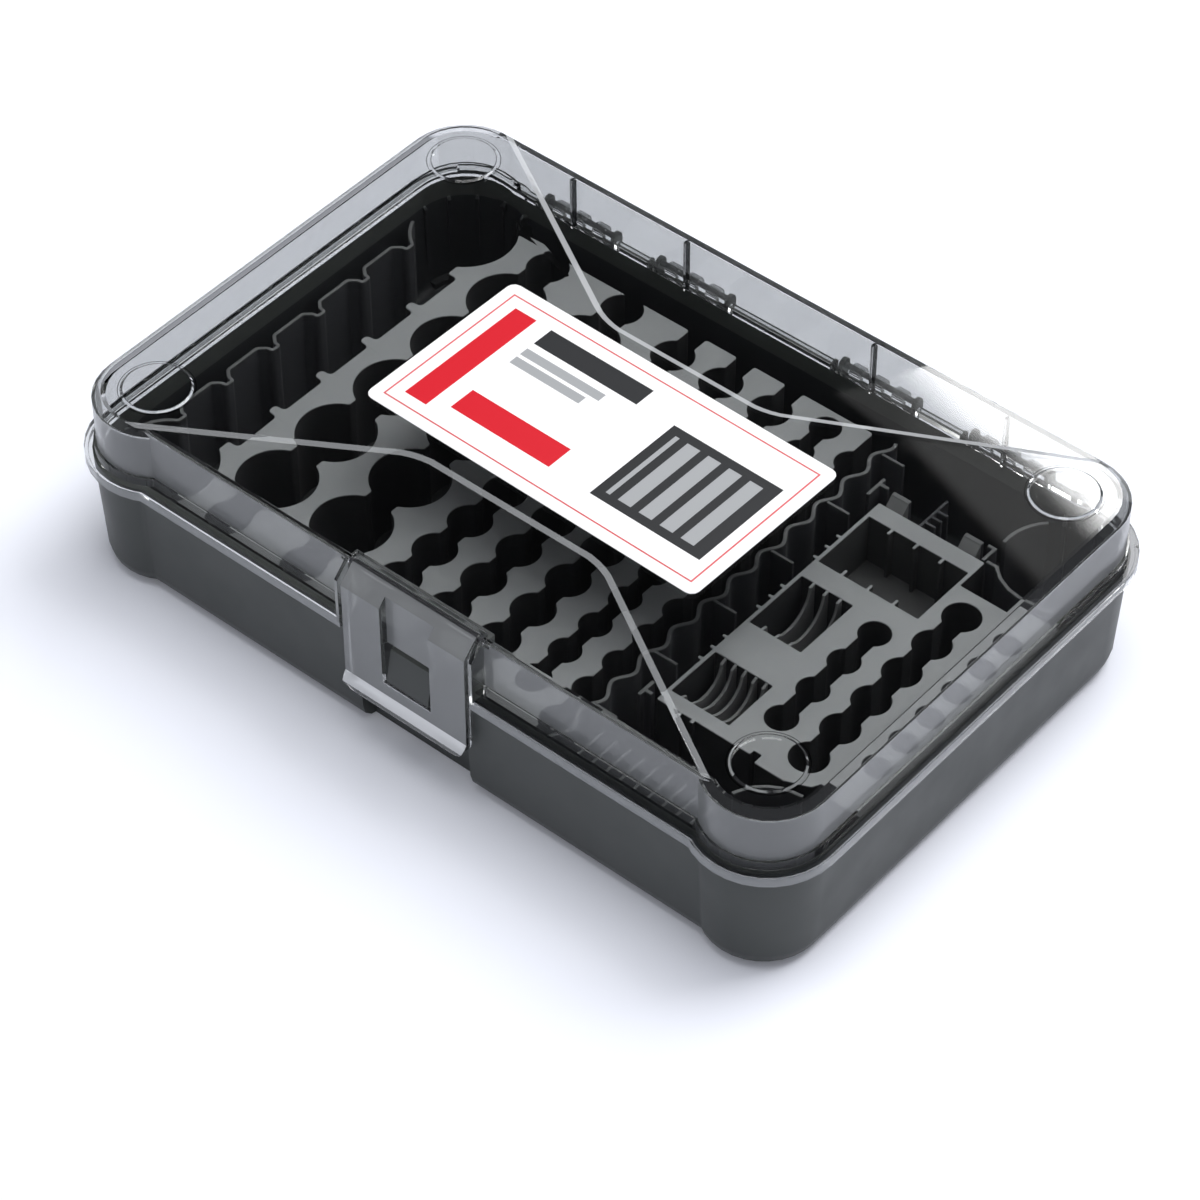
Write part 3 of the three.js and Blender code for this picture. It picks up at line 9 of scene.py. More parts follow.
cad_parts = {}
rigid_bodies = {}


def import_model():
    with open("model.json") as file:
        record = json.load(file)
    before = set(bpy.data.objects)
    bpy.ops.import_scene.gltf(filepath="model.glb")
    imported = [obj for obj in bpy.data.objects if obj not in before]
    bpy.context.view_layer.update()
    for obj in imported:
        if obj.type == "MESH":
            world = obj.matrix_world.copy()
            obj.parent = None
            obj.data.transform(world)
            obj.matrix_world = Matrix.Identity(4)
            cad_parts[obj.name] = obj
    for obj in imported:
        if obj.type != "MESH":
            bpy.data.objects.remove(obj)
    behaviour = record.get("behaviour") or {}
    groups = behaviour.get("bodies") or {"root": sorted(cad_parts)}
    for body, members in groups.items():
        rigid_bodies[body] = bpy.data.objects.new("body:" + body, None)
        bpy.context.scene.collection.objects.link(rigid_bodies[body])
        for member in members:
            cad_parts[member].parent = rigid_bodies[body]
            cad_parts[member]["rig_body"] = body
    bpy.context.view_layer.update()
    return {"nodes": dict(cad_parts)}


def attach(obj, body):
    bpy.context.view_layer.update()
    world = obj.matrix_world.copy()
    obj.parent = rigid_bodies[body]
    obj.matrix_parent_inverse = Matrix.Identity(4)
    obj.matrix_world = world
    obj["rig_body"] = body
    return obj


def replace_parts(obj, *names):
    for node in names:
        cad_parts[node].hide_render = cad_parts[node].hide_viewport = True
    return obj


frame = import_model()

# Camera. The photograph was taken from the front right, well above the case, with a long lens.
# The place, the aim and the focal length, in picture points, were fitted to the case's corners.
picture_width, sensor_width, focal_points = 1200, 36.0, 4251.32
camera_data = bpy.data.cameras.new("camera")
camera_data.sensor_width = sensor_width
camera_data.lens = sensor_width * focal_points / picture_width
camera_data.clip_start = 0.05
camera_data.clip_end = 20.0
camera = bpy.data.objects.new("camera", camera_data)
bpy.context.scene.collection.objects.link(camera)
aim = Vector((0.0214115, -0.0278601, 0.0345))
azimuth, elevation, distance = math.radians(40.17372), math.radians(45.74677), 1.31778
away = Vector((
    math.sin(azimuth) * math.cos(elevation),
    -math.cos(azimuth) * math.cos(elevation),
    math.sin(elevation),
))
camera.location = aim + away * distance
camera.rotation_mode = "QUATERNION"
camera.rotation_quaternion = (-away).to_track_quat("-Z", "Y")
bpy.context.scene.camera = camera
bpy.context.scene.view_settings.view_transform = "Standard"


# Tub. One injection moulding in dark grey polypropylene, with a fine even grain. Its inner walls below
# the deck are painted near black as shade. It carries the trays, the catch for the latch and the lugs of the hinges.
class Value:
    """A number that varies over a surface: wraps a node socket so that + - * < and abs add Math nodes."""

    def __init__(self, paint, socket):
        self.paint = paint
        self.socket = socket

    def _math(self, operation, first, second):
        return self.paint.node("ShaderNodeMath", {"operation": operation}, {0: first, 1: second})

    def __add__(self, other):
        return self._math("ADD", self, other)

    def __sub__(self, other):
        return self._math("SUBTRACT", self, other)

    def __mul__(self, other):
        return self._math("MULTIPLY", self, other)

    def __rsub__(self, other):
        return self._math("SUBTRACT", other, self)

    def __lt__(self, other):
        return self._math("LESS_THAN", self, other)

    def __abs__(self):
        return self._math("ABSOLUTE", self, 0.0)

    __radd__ = __add__
    __rmul__ = __mul__


class Paint:
    """The nodes of a material, a lamp or the world. node() makes one node, put() fills one socket,
    and shade() fills the sockets of a material's Principled shader."""

    def __init__(self, owner, place=("ShaderNodeTexCoord", "Object")):
        owner.use_nodes = True
        self.owner = owner
        self.nodes = owner.node_tree.nodes
        self.links = owner.node_tree.links
        self.place = self.node(place[0], {}, {}, place[1])

    def put(self, socket, value):
        if isinstance(value, Value):
            self.links.new(value.socket, socket)
        elif isinstance(value, (tuple, list)) and len(value) == 3 and socket.type == "RGBA":
            socket.default_value = (*value, 1.0)
        else:
            socket.default_value = value

    def node(self, kind, settings, values, out=0):
        made = self.nodes.new(kind)
        for name, value in settings.items():
            setattr(made, name, value)
        for name, value in values.items():
            self.put(made.inputs[name], value)
        return Value(self, made.outputs[out])

    def axis(self, letter):
        """The x, y or z of the place read, which on a piece is the object's own."""
        return self.node("ShaderNodeSeparateXYZ", {}, {"Vector": self.place}, letter)

    def noise(self, scale, detail=2.0, roughness=0.5):
        values = {"Vector": self.place, "Scale": scale, "Detail": detail, "Roughness": roughness}
        return self.node("ShaderNodeTexNoise", {}, values)

    def spread(self, value, low, high, to_low, to_high, curve="LINEAR"):
        """The value carried from low..high to to_low..to_high, and held at the ends."""
        values = {"Value": value, "From Min": low, "From Max": high, "To Min": to_low, "To Max": to_high}
        return self.node("ShaderNodeMapRange", {"interpolation_type": curve}, values)

    def blend(self, share, first, second):
        return self.node("ShaderNodeMix", {"data_type": "RGBA"}, {0: share, 6: first, 7: second}, 2)

    def bump(self, height, distance):
        return self.node("ShaderNodeBump", {}, {"Height": height, "Distance": distance, "Strength": 1.0})

    def shade(self, **values):
        for name, value in values.items():
            self.put(self.nodes["Principled BSDF"].inputs[name.replace("_", " ")], value)
        return self.owner


same_point = 2e-6
flat_turn, edge_turn, rounded_turn = math.radians(1.0), math.radians(32), math.radians(34)


def shaded(form, mesh, turn):
    """Writes a bmesh into a mesh, smooth but for the edges where two faces turn by the angle or more."""
    for face in form.faces:
        face.smooth = True
    for line in form.edges:
        line.smooth = line.calc_face_angle(0.0) < turn
    form.to_mesh(mesh)
    form.free()


def placed(name, mesh, material, edge=0.0, segments=2):
    """An object of one mesh and one material, with its edges rounded by a radius if one is given."""
    made = bpy.data.objects.new(name, mesh)
    bpy.context.scene.collection.objects.link(made)
    if edge > 0:
        bevel = made.modifiers.new("edges", "BEVEL")
        bevel.width = edge
        bevel.segments = segments
        bevel.limit_method = "ANGLE"
        bevel.angle_limit = rounded_turn
        bevel.use_clamp_overlap = True
        bevel.miter_outer = "MITER_ARC"
    evener = made.modifiers.new("even_shading", "WEIGHTED_NORMAL")
    evener.keep_sharp = True
    evener.weight = 100
    mesh.materials.clear()
    mesh.materials.append(material)
    return made


def finished_copy(node, material, edge, segments=2):
    """A copy of a CAD node with its loose triangles merged, flat areas made whole and edges rounded."""
    source = frame["nodes"][node]
    mesh = bpy.data.meshes.new(node + "_shape")
    form = bmesh.new()
    form.from_mesh(source.data)
    bmesh.ops.remove_doubles(form, verts=form.verts, dist=same_point)
    bmesh.ops.dissolve_limit(form, angle_limit=flat_turn, verts=form.verts, edges=form.edges)
    shaded(form, mesh, edge_turn)
    made = placed(node + "_finished", mesh, material, edge, segments)
    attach(made, source["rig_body"])
    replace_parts(made, node)
    return made


grain_scale, grain_detail, grain_roughness = 2600.0, 2.0, 0.6
spark_grain, polish_grain = 0.00002, 0.00001
plastic_ior = 1.5


def moulded_plastic(name, colour, roughness, grain, shine=0.5, painted_shade_where=None):
    """Dyed moulded plastic: a slow drift of tone from the melt's flow and a fine spark-eroded grain.
    The last argument, if given, gives the share of painted shade, near black, at a point."""
    paint = Paint(bpy.data.materials.new(name))
    drift = paint.noise(14.0, 3.0)
    pale = tuple(c * 1.09 for c in colour)
    deep = tuple(c * 0.92 for c in colour)
    tone = paint.blend(paint.spread(drift, 0.3, 0.7, 0.0, 1.0), deep, pale)
    if painted_shade_where:
        # painted shade, near black, where the mask gives it
        painted_shade_black = (0.019, 0.02, 0.0215)
        tone = paint.blend(painted_shade_where(paint), tone, painted_shade_black)
    fine = paint.noise(grain_scale, grain_detail, grain_roughness)
    rough = paint.spread(paint.noise(60.0), 0.3, 0.7, roughness - 0.04, roughness + 0.05)
    return paint.shade(
        Base_Color=tone,
        Roughness=rough,
        Specular_IOR_Level=shine,
        Normal=paint.bump(fine, grain),
        IOR=plastic_ior,
    )


column_x, column_y = 0.1227, 0.0727


def tub_inner_shade(paint):
    """1 on the inner faces of the walls and corner columns below the deck, where shade is painted near black,
    and 0 elsewhere. A surface half way through the leaning wall tells inner faces from outer ones; the finger recess
    is outside."""
    wall_lean = 0.042
    half_length, back, front, column_radius = 0.142, 0.0915, 0.0891, 0.0193
    recess_half_width, recess_y, shade_top = 0.0236, 0.0832, 0.0372
    x, y, z = abs(paint.axis("X")), paint.axis("Y"), paint.axis("Z")
    lean = z * wall_lean
    box = (x < lean + half_length) * (y < lean + back) * (0.0 - y < lean + front)
    over_x, over_y = x - column_x, abs(y) - column_y
    reach = lean + column_radius
    past_column = 1.0 - (over_x * over_x + over_y * over_y < reach * reach)
    outer_corner = (1.0 - (over_x < 0.0)) * (1.0 - (over_y < 0.0)) * past_column
    recess = (x < recess_half_width) * (y < -recess_y)
    return box * (1.0 - outer_corner) * (1.0 - recess) * (z < shade_top)


tub_grey, tub_roughness, tub_shine = (0.052, 0.056, 0.0535), 0.42, 0.25
# The inner walls of the tub take painted shade, near black.
tub_plastic = moulded_plastic("tub_plastic", tub_grey, tub_roughness, spark_grain, tub_shine, tub_inner_shade)
finished_copy("base_tub", tub_plastic, 0.0003)


# Deck trays. Four grey mouldings that drop into the tub side by side: six islands of deck between the
# open rows of C and AA wells, with the closed AAA row in the last island. Duller than the tub.
deck_height, deck_foot, well_floor, deck_back = 0.0375, 0.0023, 0.0035, 0.0829
wall_edge, floor_edge = 0.0002, 0.0001


def arc(x, y, radius, start, end, steps):
    """Points of a circle about x, y between two angles in degrees."""
    turn = np.radians(np.linspace(start, end, steps + 1))
    return np.column_stack([x + radius * np.cos(turn), y + radius * np.sin(turn)])


def row_edge(x, wells, radius, neck, side, closed=False):
    """One edge of the deck along a row of round wells, from back to front: arcs of the well's radius
    between the two angles where a neck of the given width meets them, joined by straight lines.
    A closed row has a half circle at either end, and an open one runs out at the deck's edges."""
    meet = math.acos(neck / 2 / radius)
    first = np.full(len(wells), meet)
    last = np.full(len(wells), -meet)
    if closed:
        first[0] = math.pi / 2
        last[-1] = -math.pi / 2
    turn = first[:, None] + (last - first)[:, None] * np.linspace(0, 1, 15)
    points = np.stack([x + side * radius * np.cos(turn), wells[:, None] + radius * np.sin(turn)], axis=2)
    points = points.reshape(-1, 2)
    if closed:
        return points
    neck_x = x + side * neck / 2
    return np.vstack([[[neck_x, deck_back]], points, [[neck_x, -deck_back]]])


def softened(points, radius, steps=4, cyclic=True):
    """Rounds the corners that turn by more than 20 degrees: each becomes a curve that is quadratic in
    the share along it, between points on its two edges that lie a tangent's length from the corner."""
    before = np.roll(points, 1, axis=0)
    after = np.roll(points, -1, axis=0)
    into, out = points - before, after - points
    into_length = np.linalg.norm(into, axis=1) + 1e-12
    out_length = np.linalg.norm(out, axis=1) + 1e-12
    into, out = into / into_length[:, None], out / out_length[:, None]
    turn = np.arccos(np.clip((into * out).sum(axis=1), -1, 1))
    sharp = turn > math.radians(20)
    if not cyclic:
        sharp[0] = sharp[-1] = False
    reach = np.minimum(radius * np.tan(turn / 2), np.minimum(into_length, out_length) * 0.48)
    reach = np.where(sharp, reach, 0.0)
    share = np.linspace(0, 1, steps + 1)[None, :, None]
    start = (points - into * reach[:, None])[:, None, :]
    end = (points + out * reach[:, None])[:, None, :]
    curve = (1 - share) ** 2 * start + 2 * share * (1 - share) * points[:, None, :] + share**2 * end
    keep = np.ones(curve.shape[:2], bool)
    keep[~sharp, 1:] = False
    return curve[keep]


def moulding(name, material, outlines, low, high, edge=wall_edge):
    """A flat moulding from height low to high: the first outline filled, less the others, with its edges
    rounded by a radius."""
    curve = bpy.data.curves.new(name, "CURVE")
    curve.dimensions = "2D"
    curve.fill_mode = "BOTH"
    curve.extrude = (high - low) / 2 - edge
    curve.bevel_depth = edge
    curve.bevel_resolution = 1
    curve.offset = -edge
    for outline in outlines:
        spline = curve.splines.new("POLY")
        spline.points.add(len(outline) - 1)
        zeros, ones = np.zeros(len(outline)), np.ones(len(outline))
        spline.points.foreach_set("co", np.column_stack([outline, zeros, ones]).ravel())
        spline.use_cyclic_u = True
    holder = bpy.data.objects.new(name + "_curve", curve)
    bpy.context.scene.collection.objects.link(holder)
    bpy.context.view_layer.update()
    mesh = bpy.data.meshes.new_from_object(holder.evaluated_get(bpy.context.evaluated_depsgraph_get()))
    bpy.data.objects.remove(holder)
    mesh.transform(Matrix.Translation((0, 0, (low + high) / 2)))
    form = bmesh.new()
    form.from_mesh(mesh)
    bmesh.ops.remove_doubles(form, verts=form.verts, dist=same_point)
    bmesh.ops.recalc_face_normals(form, faces=form.faces)
    shaded(form, mesh, math.radians(40))
    mesh.name = name
    made = placed(name, mesh, material)
    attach(made, "case")
    return made


def joined(name, parts):
    """Several mouldings of one piece as one object."""
    whole = bmesh.new()
    for part in parts:
        whole.from_mesh(part.data)
    first = parts[0]
    whole.to_mesh(first.data)
    whole.free()
    for part in parts[1:]:
        bpy.data.objects.remove(part)
    first.name = name
    return first


def tinted(level, tint):
    return tuple(level * share for share in tint)


def tray_coat(name, deep, top, shade_spots):
    """Grey plastic with a fine spark-eroded grain: its top faces keep the plastic's pale tone, and the walls below
    them are painted dark as shade and are rougher. In each spot, a box given by x, y, half_x, half_y and its foot,
    the walls' painted shade has a level of its own."""
    paint = Paint(bpy.data.materials.new(name))
    height = paint.axis("Z")
    on_top = paint.spread(height, 0.0369, 0.0374, 0.0, 1.0)
    tone = paint.spread(paint.noise(16.0, 3.0), 0.3, 0.7, 0.0, 1.0)
    shaded_walls = paint.blend(tone, tinted(deep, (0.85, 0.88, 1.0)), tinted(deep, (1.1, 1.13, 1.28)))
    for x, y, half_x, half_y, foot, level in shade_spots:
        inside = (abs(paint.axis("X") - x) < half_x) * (abs(paint.axis("Y") - y) < half_y)
        shaded_walls = paint.blend(inside * (1.0 - (height < foot)), shaded_walls, tinted(level, (1.0, 1.02, 1.03)))
    tops = paint.blend(tone, tinted(top, (0.93, 0.963, 0.984)), tinted(top, (1.065, 1.1, 1.123)))
    return paint.shade(
        Base_Color=paint.blend(on_top, shaded_walls, tops),
        Roughness=paint.spread(on_top, 0.0, 1.0, 0.75, 0.56) + paint.noise(60.0) * 0.04,
        Normal=paint.bump(paint.noise(grain_scale, grain_detail, grain_roughness), spark_grain),
        IOR=plastic_ior,
    )


# Spots where the walls' painted shade is lighter: the coin racks and the deep box.
coin_rack_shade = [(0.076, 0.0049, 0.0112, 0.0128, 0.0142, 0.12), (0.0764, -0.03515, 0.0116, 0.0104, 0.0142, 0.12)]
box_floor_shade = [(0.0842, 0.0392, 0.0199, 0.0133, 0.0175, 0.03)]
# Tray walls are painted near black as shade; the tops keep the plastic's pale grey.
tray_plastic = tray_coat("tray_plastic", 0.0105, 0.188, coin_rack_shade + box_floor_shade)

c_radius, c_neck, c_pitch, c_rows = 0.01345, 0.0109, 0.0277, (-0.0896, -0.0575)
aa_radius, aa_neck, aa_pitch, aa_rows = 0.0074, 0.0072, 0.01668, (-0.0302, -0.0099, 0.0104)
aaa_radius, aaa_neck, aaa_open_neck, aaa_pitch = 0.0054, 0.0055, 0.005, 0.0143
aaa_row, aaa_open_row = 0.0292, 0.0452
end_well_y = 0.0765
c_wells = c_pitch * np.array([2, 1, 0, -1, -2])
aa_wells = 0.0701 - aa_pitch * np.arange(9)
aaa_wells = 0.0752 - aaa_pitch * np.arange(11)
aaa_open_wells = 0.0676 - aaa_pitch * np.arange(11)


def c_edge(x, side):
    """The edge beside a C row: a C chain with an open AA well at each end, cut off by the deck's edge."""
    middle = row_edge(x, c_wells, c_radius, c_neck, side)[1:-1]
    swing = math.degrees(math.asin((deck_back - end_well_y) / aa_radius))
    low = math.degrees(math.acos(c_neck / 2 / aa_radius))
    back_end = arc(0, 0, aa_radius, swing, -low, 10) * [side, 1] + [x, end_well_y]
    front_end = arc(0, 0, aa_radius, low, -swing, 10) * [side, 1] + [x, -end_well_y]
    return np.vstack([back_end, middle, front_end])


def aa_edge(x, side):
    """The edge beside an AA row, which runs out through both edges of the deck."""
    return row_edge(x, aa_wells, aa_radius, aa_neck, side)


pocket_numbers, pocket_pitch = range(2, -3, -1), 0.0219
pocket_half, pocket_left, pocket_right = 0.0091, -0.1132, -0.1091
pocket_rows = []
for number in pocket_numbers:
    y = number * pocket_pitch
    pocket_rows += [
        [pocket_left, y + pocket_half],
        [pocket_right, y + pocket_half],
        [pocket_right, y - pocket_half],
        [pocket_left, y - pocket_half],
    ]
d_radius = 0.018
left_edge = np.vstack([
    arc(-column_x, column_y, d_radius, 34.5, -58.1, 22),
    softened(np.array(pocket_rows), 0.0024, 4, False),
    arc(-column_x, -column_y, d_radius, 58.1, -34.5, 22),
])
row_pairs = [
    (left_edge, c_edge(c_rows[0], -1)),
    (c_edge(c_rows[0], 1), c_edge(c_rows[1], -1)),
    (c_edge(c_rows[1], 1), aa_edge(aa_rows[0], -1)),
    (aa_edge(aa_rows[0], 1), aa_edge(aa_rows[1], -1)),
    (aa_edge(aa_rows[1], 1), aa_edge(aa_rows[2], -1)),
    (aa_edge(aa_rows[2], 1), row_edge(aaa_open_row, aaa_open_wells, aaa_radius, aaa_open_neck, -1)),
]
aaa_hole = np.vstack([
    row_edge(aaa_row, aaa_wells, aaa_radius, aaa_neck, 1, True),
    row_edge(aaa_row, aaa_wells, aaa_radius, aaa_neck, -1, True)[::-1],
])
half_seam, floor_right = 0.00015, 0.0473
tray_seams = [c_rows[0], aa_rows[0], aa_rows[2]]
tray_starts = [None, *(x + half_seam for x in tray_seams)]
tray_ends = [*(x - half_seam for x in tray_seams), floor_right]
tray_islands = {"nine_volt_tray": (0,), "c_cell_tray": (1, 2), "aa_cell_tray": (3, 4), "aaa_cell_tray": (5,)}
for (tray, numbers), start, end in zip(tray_islands.items(), tray_starts, tray_ends):
    left = left_edge if start is None else np.array([[start, deck_back], [start, -deck_back]])
    floor_outline = np.vstack([left, [[end, -deck_back], [end, deck_back]]])
    parts = [moulding("tray_floor", tray_plastic, [floor_outline], deck_foot, well_floor, floor_edge)]
    for number in numbers:
        left, right = row_pairs[number]
        outlines = [softened(np.vstack([left, right[::-1]]), 0.0011)]
        if tray == "aaa_cell_tray":
            outlines.append(softened(aaa_hole, 0.0006))
        parts.append(moulding("deck_island", tray_plastic, outlines, deck_foot, deck_height))
    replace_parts(joined(tray + "_finished", parts), tray)

# 9 V rack. A thin upright wall of the trays' plastic, moulded by itself and dropped in on the left. It
# bows out behind each of the five 9 V pockets, and its two arms curve to the D cells.
# The thin walls are painted dark as shade; the wedge faces of the cradle's clips are painted lighter, a painted
# highlight.
clip_nose_highlights = [(0.0675, 0.0618, 0.0036, 0.0029, 0.0303, 0.13), (0.0959, 0.0618, 0.0036, 0.0029, 0.0303, 0.13)]
thin_plastic = tray_coat("thin_plastic", 0.03, 0.08, clip_nose_highlights)


def wall_outline(path, thickness):
    """The outline of a wall of even thickness: the path shifted along its normals to either side."""
    along = np.gradient(path, axis=0)
    along /= np.linalg.norm(along, axis=1)[:, None]
    across = np.column_stack([-along[:, 1], along[:, 0]]) * thickness / 2
    return np.vstack([path + across, (path - across)[::-1]])


def evenly(path, step):
    """The same path with points at even distances along its length."""
    travelled = np.concatenate([[0], np.cumsum(np.linalg.norm(np.diff(path, axis=0), axis=1))])
    places = np.linspace(0, travelled[-1], int(travelled[-1] / step) + 1)
    return np.column_stack([np.interp(places, travelled, path[:, axis]) for axis in range(2)])


rack_x, shoulder_x, bow_x = -0.132, -0.1338, -0.1366
rib_half, bow_half, arm_radius = 0.0093, 0.0068, 0.0189
rack_path = []
for number in pocket_numbers:
    y = number * pocket_pitch
    rack_path += [
        [rack_x, y + rib_half],
        [shoulder_x, y + rib_half],
        [bow_x, y + bow_half],
        [bow_x, y - bow_half],
        [shoulder_x, y - rib_half],
        [rack_x, y - rib_half],
    ]
rack_path = np.vstack([
    arc(-column_x, column_y, arm_radius, 203, 240, 12),
    rack_path,
    arc(-column_x, -column_y, arm_radius, 120, 157, 12),
])
rack_path = evenly(softened(rack_path, 0.0016, 6, False), 0.0004)
rack_outline = wall_outline(rack_path, 0.0012)
rack = moulding("nine_volt_rack_finished", thin_plastic, [rack_outline], deck_foot, deck_height)
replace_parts(rack, "nine_volt_rack")

# Divider. A thin upright wall of the same plastic that waves past the wells of the open AAA row and
# closes it on the right. Six short fins stand out from it towards the side tray.
wave_y = np.linspace(0.084, -0.084, 340)
wave_x = 0.05 + 0.0016 * np.cos(2 * math.pi * (wave_y - aaa_open_wells[0]) / aaa_pitch)
wave = wall_outline(np.column_stack([wave_x, wave_y]), 0.0013)
divider_parts = [moulding("divider_wave", thin_plastic, [wave], deck_foot, deck_height)]
fin_left, fin_right, fin_half, fin_edge = 0.0505, 0.0592, 0.0005, 0.00015


def rectangle(left, right, front, back):
    """The outline of a plain rectangle, from its front left corner on."""
    return np.array([[left, front], [right, front], [right, back], [left, back]])


for number in range(6):
    y = 0.0775 - 0.0284 * number
    fin = rectangle(fin_left, fin_right, y - fin_half, y + fin_half)
    divider_parts.append(moulding(f"fin_{number}", thin_plastic, [fin], deck_foot, deck_height - 0.0002, fin_edge))
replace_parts(joined("divider_wall_finished", divider_parts), "divider_wall")

# Side tray. A second deck of the grey plastic, dropped in beside the divider, with a deep box, two coin
# racks whose ribs are cut to an arc, and two rows of small round wells. Short teeth stand on its left.
side_left, soft_corner = 0.0635, 0.0005
side_outline = [
    [side_left, -0.0509], [0.0993, -0.0509], [0.0993, -0.049], [0.1024, -0.049], [0.1024, -0.0528],
    [0.1135, -0.0528], [0.12145, -0.0493], [0.1232, -0.0458], [0.1232, 0.0462], [0.1049, 0.0462],
    [0.1049, 0.059], [side_left, 0.059],
]
tooth_tip, tooth_half = 0.062, 0.00055
for group in range(3):
    for tooth in range(3):
        y = 0.039 - 0.0283 * group - 0.0059 * tooth
        side_outline += [
            [side_left, y + tooth_half], [tooth_tip, y + tooth_half],
            [tooth_tip, y - tooth_half], [side_left, y - tooth_half],
        ]
side_outline = softened(np.array(side_outline), soft_corner, 3)
box_outline = np.array([
    [0.06475, 0.0262], [0.0735, 0.0262], [0.0735, 0.0287], [0.0745, 0.0287], [0.0745, 0.0262],
    [0.0835, 0.0262], [0.0835, 0.0287], [0.0845, 0.0287], [0.0845, 0.0262],
    [0.0935, 0.0262], [0.0935, 0.0287], [0.0945, 0.0287], [0.0945, 0.0262], [0.1036, 0.0262],
    [0.1036, 0.0522], [0.0945, 0.0522], [0.0945, 0.0497], [0.0935, 0.0497], [0.0935, 0.0522],
    [0.0845, 0.0522], [0.0845, 0.0497], [0.0835, 0.0497], [0.0835, 0.0522],
    [0.0745, 0.0522], [0.0745, 0.0497], [0.0735, 0.0497], [0.0735, 0.0522], [0.06475, 0.0522],
])


def row_hole(x, wells, radius, neck):
    """A closed row of round wells joined by necks."""
    right = row_edge(x, wells, radius, neck, 1, True)
    left = row_edge(x, wells, radius, neck, -1, True)
    return softened(np.vstack([right, left[::-1]]), soft_corner)


rack_left = 0.06475
large_coins, small_coins = (-0.0081, 0.0179), (-0.0457, -0.0246)
back_well_y = 0.0355
short_row, short_wells, short_radius, short_neck = 0.0973, 0.0127 - 0.01527 * np.arange(4), 0.0054, 0.006
long_row, long_wells, long_radius, long_neck = 0.1135, back_well_y - 0.01518 * np.arange(6), 0.0064, 0.0072
side_holes = [
    softened(box_outline, 0.0003, 2),
    softened(rectangle(rack_left, 0.0849, *large_coins), soft_corner),
    softened(rectangle(rack_left, 0.0872, *small_coins), soft_corner),
    row_hole(short_row, short_wells, short_radius, short_neck),
    row_hole(long_row, long_wells, long_radius, long_neck),
]
side_parts = [moulding("side_deck", tray_plastic, [side_outline, *side_holes], deck_foot, deck_height)]
side_floors = [
    ("side_floor", rectangle(0.0645, 0.1225, -0.0485, 0.0455), deck_foot, well_floor),
    ("box_floor", rectangle(0.0642, 0.1042, 0.0258, 0.0526), 0.0165, 0.018),
    ("coin_floor", rectangle(0.0642, 0.088, -0.0462, 0.0184), 0.0125, 0.014),
]
for name, outline, low, high in side_floors:
    side_parts.append(moulding(name, tray_plastic, [outline], low, high, floor_edge))
rib_foot, rib_half_thickness, rib_tab, rib_bond, rib_sink = 0.0136, 0.0005, 0.0022, 0.0003, 0.0001


def coin_rib(x, front, back, dip):
    """A thin upright rib that joins the walls of its pocket. Between two end tabs its top is cut to a
    circular arc that falls by dip below the deck."""
    middle, half = (front + back) / 2, (back - front) / 2
    reach = half - rib_tab
    sweep = (reach**2 + dip**2) / (2 * dip)
    swing = math.degrees(math.asin(reach / sweep))
    top = arc(middle, deck_height - dip + sweep, sweep, -90 - swing, -90 + swing, 20)
    start, end, shoulder = middle - half - rib_bond, middle + half + rib_bond, deck_height - rib_sink
    outline = np.vstack([
        [[start, rib_foot], [end, rib_foot], [end, shoulder]],
        top[::-1] - [0, rib_sink],
        [[start, shoulder]],
    ])
    rib = moulding("rib", tray_plastic, [outline], -rib_half_thickness, rib_half_thickness, 0.00015)
    rib.data.transform(Matrix(((0, 0, 1, x), (1, 0, 0, 0), (0, 1, 0, 0), (0, 0, 0, 1))))
    return rib


side_parts += [coin_rib(0.0697 + 0.0053 * number, *large_coins, 0.011) for number in range(3)]
side_parts += [coin_rib(0.0688 + 0.00403 * number, *small_coins, 0.009) for number in range(5)]
peg_half, peg_front, peg_back = 0.0006, -0.0521, -0.0506
for number in range(2):
    x = 0.0728 + 0.0049 * number
    peg = rectangle(x - peg_half, x + peg_half, peg_front, peg_back)
    side_parts.append(moulding(f"peg_{number}", tray_plastic, [peg], deck_foot, deck_height))
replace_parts(joined("side_tray_finished", side_parts), "side_tray")

# Cell strip. A narrow deck of the grey plastic along the tub's right wall, with one row of the
# slimmest wells. The seam beside it is the one that shows between the trays.
strip_outline = softened(np.array([
    [0.1278, -0.049], [0.1412, -0.049], [0.1412, 0.051], [0.1238, 0.051], [0.1238, -0.0445], [0.1278, -0.0445],
]), soft_corner, 3)
strip_row, strip_pitch, strip_radius, strip_low = 0.1302, 0.0131, 0.0043, 0.0065
strip_holes = [arc(strip_row, back_well_y - strip_pitch * number, strip_radius, 0, 354, 59) for number in range(6)]
strip_floor = rectangle(0.1245, 0.138, -0.044, 0.0505)
strip_parts = [
    moulding("strip_deck", tray_plastic, [strip_outline, *strip_holes], strip_low, deck_height),
    moulding("strip_floor", tray_plastic, [strip_floor], deck_foot, well_floor, floor_edge),
]
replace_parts(joined("small_cell_strip_finished", strip_parts), "small_cell_strip")

# D-cell walls, cradle and slot rack. Thin ribs and guides of the grey plastic that stand on the tub's
# floor. The two clips of the cradle have wedge faces, which carry a painted highlight.
for node in ("d_cell_wall_back_right", "d_cell_wall_front_right", "tester_cradle", "slot_rack"):
    finished_copy(node, thin_plastic, wall_edge)

# Hinge bars. Four dark moulded rods held in the tub's lugs, which the lid's clips snap over.
# They are smoother than the tub.
bar_plastic = moulded_plastic("bar_plastic", (0.03, 0.032, 0.034), 0.35, polish_grain)
for number in range(1, 5):
    finished_copy(f"hinge_pin_{number}", bar_plastic, 0.0001)
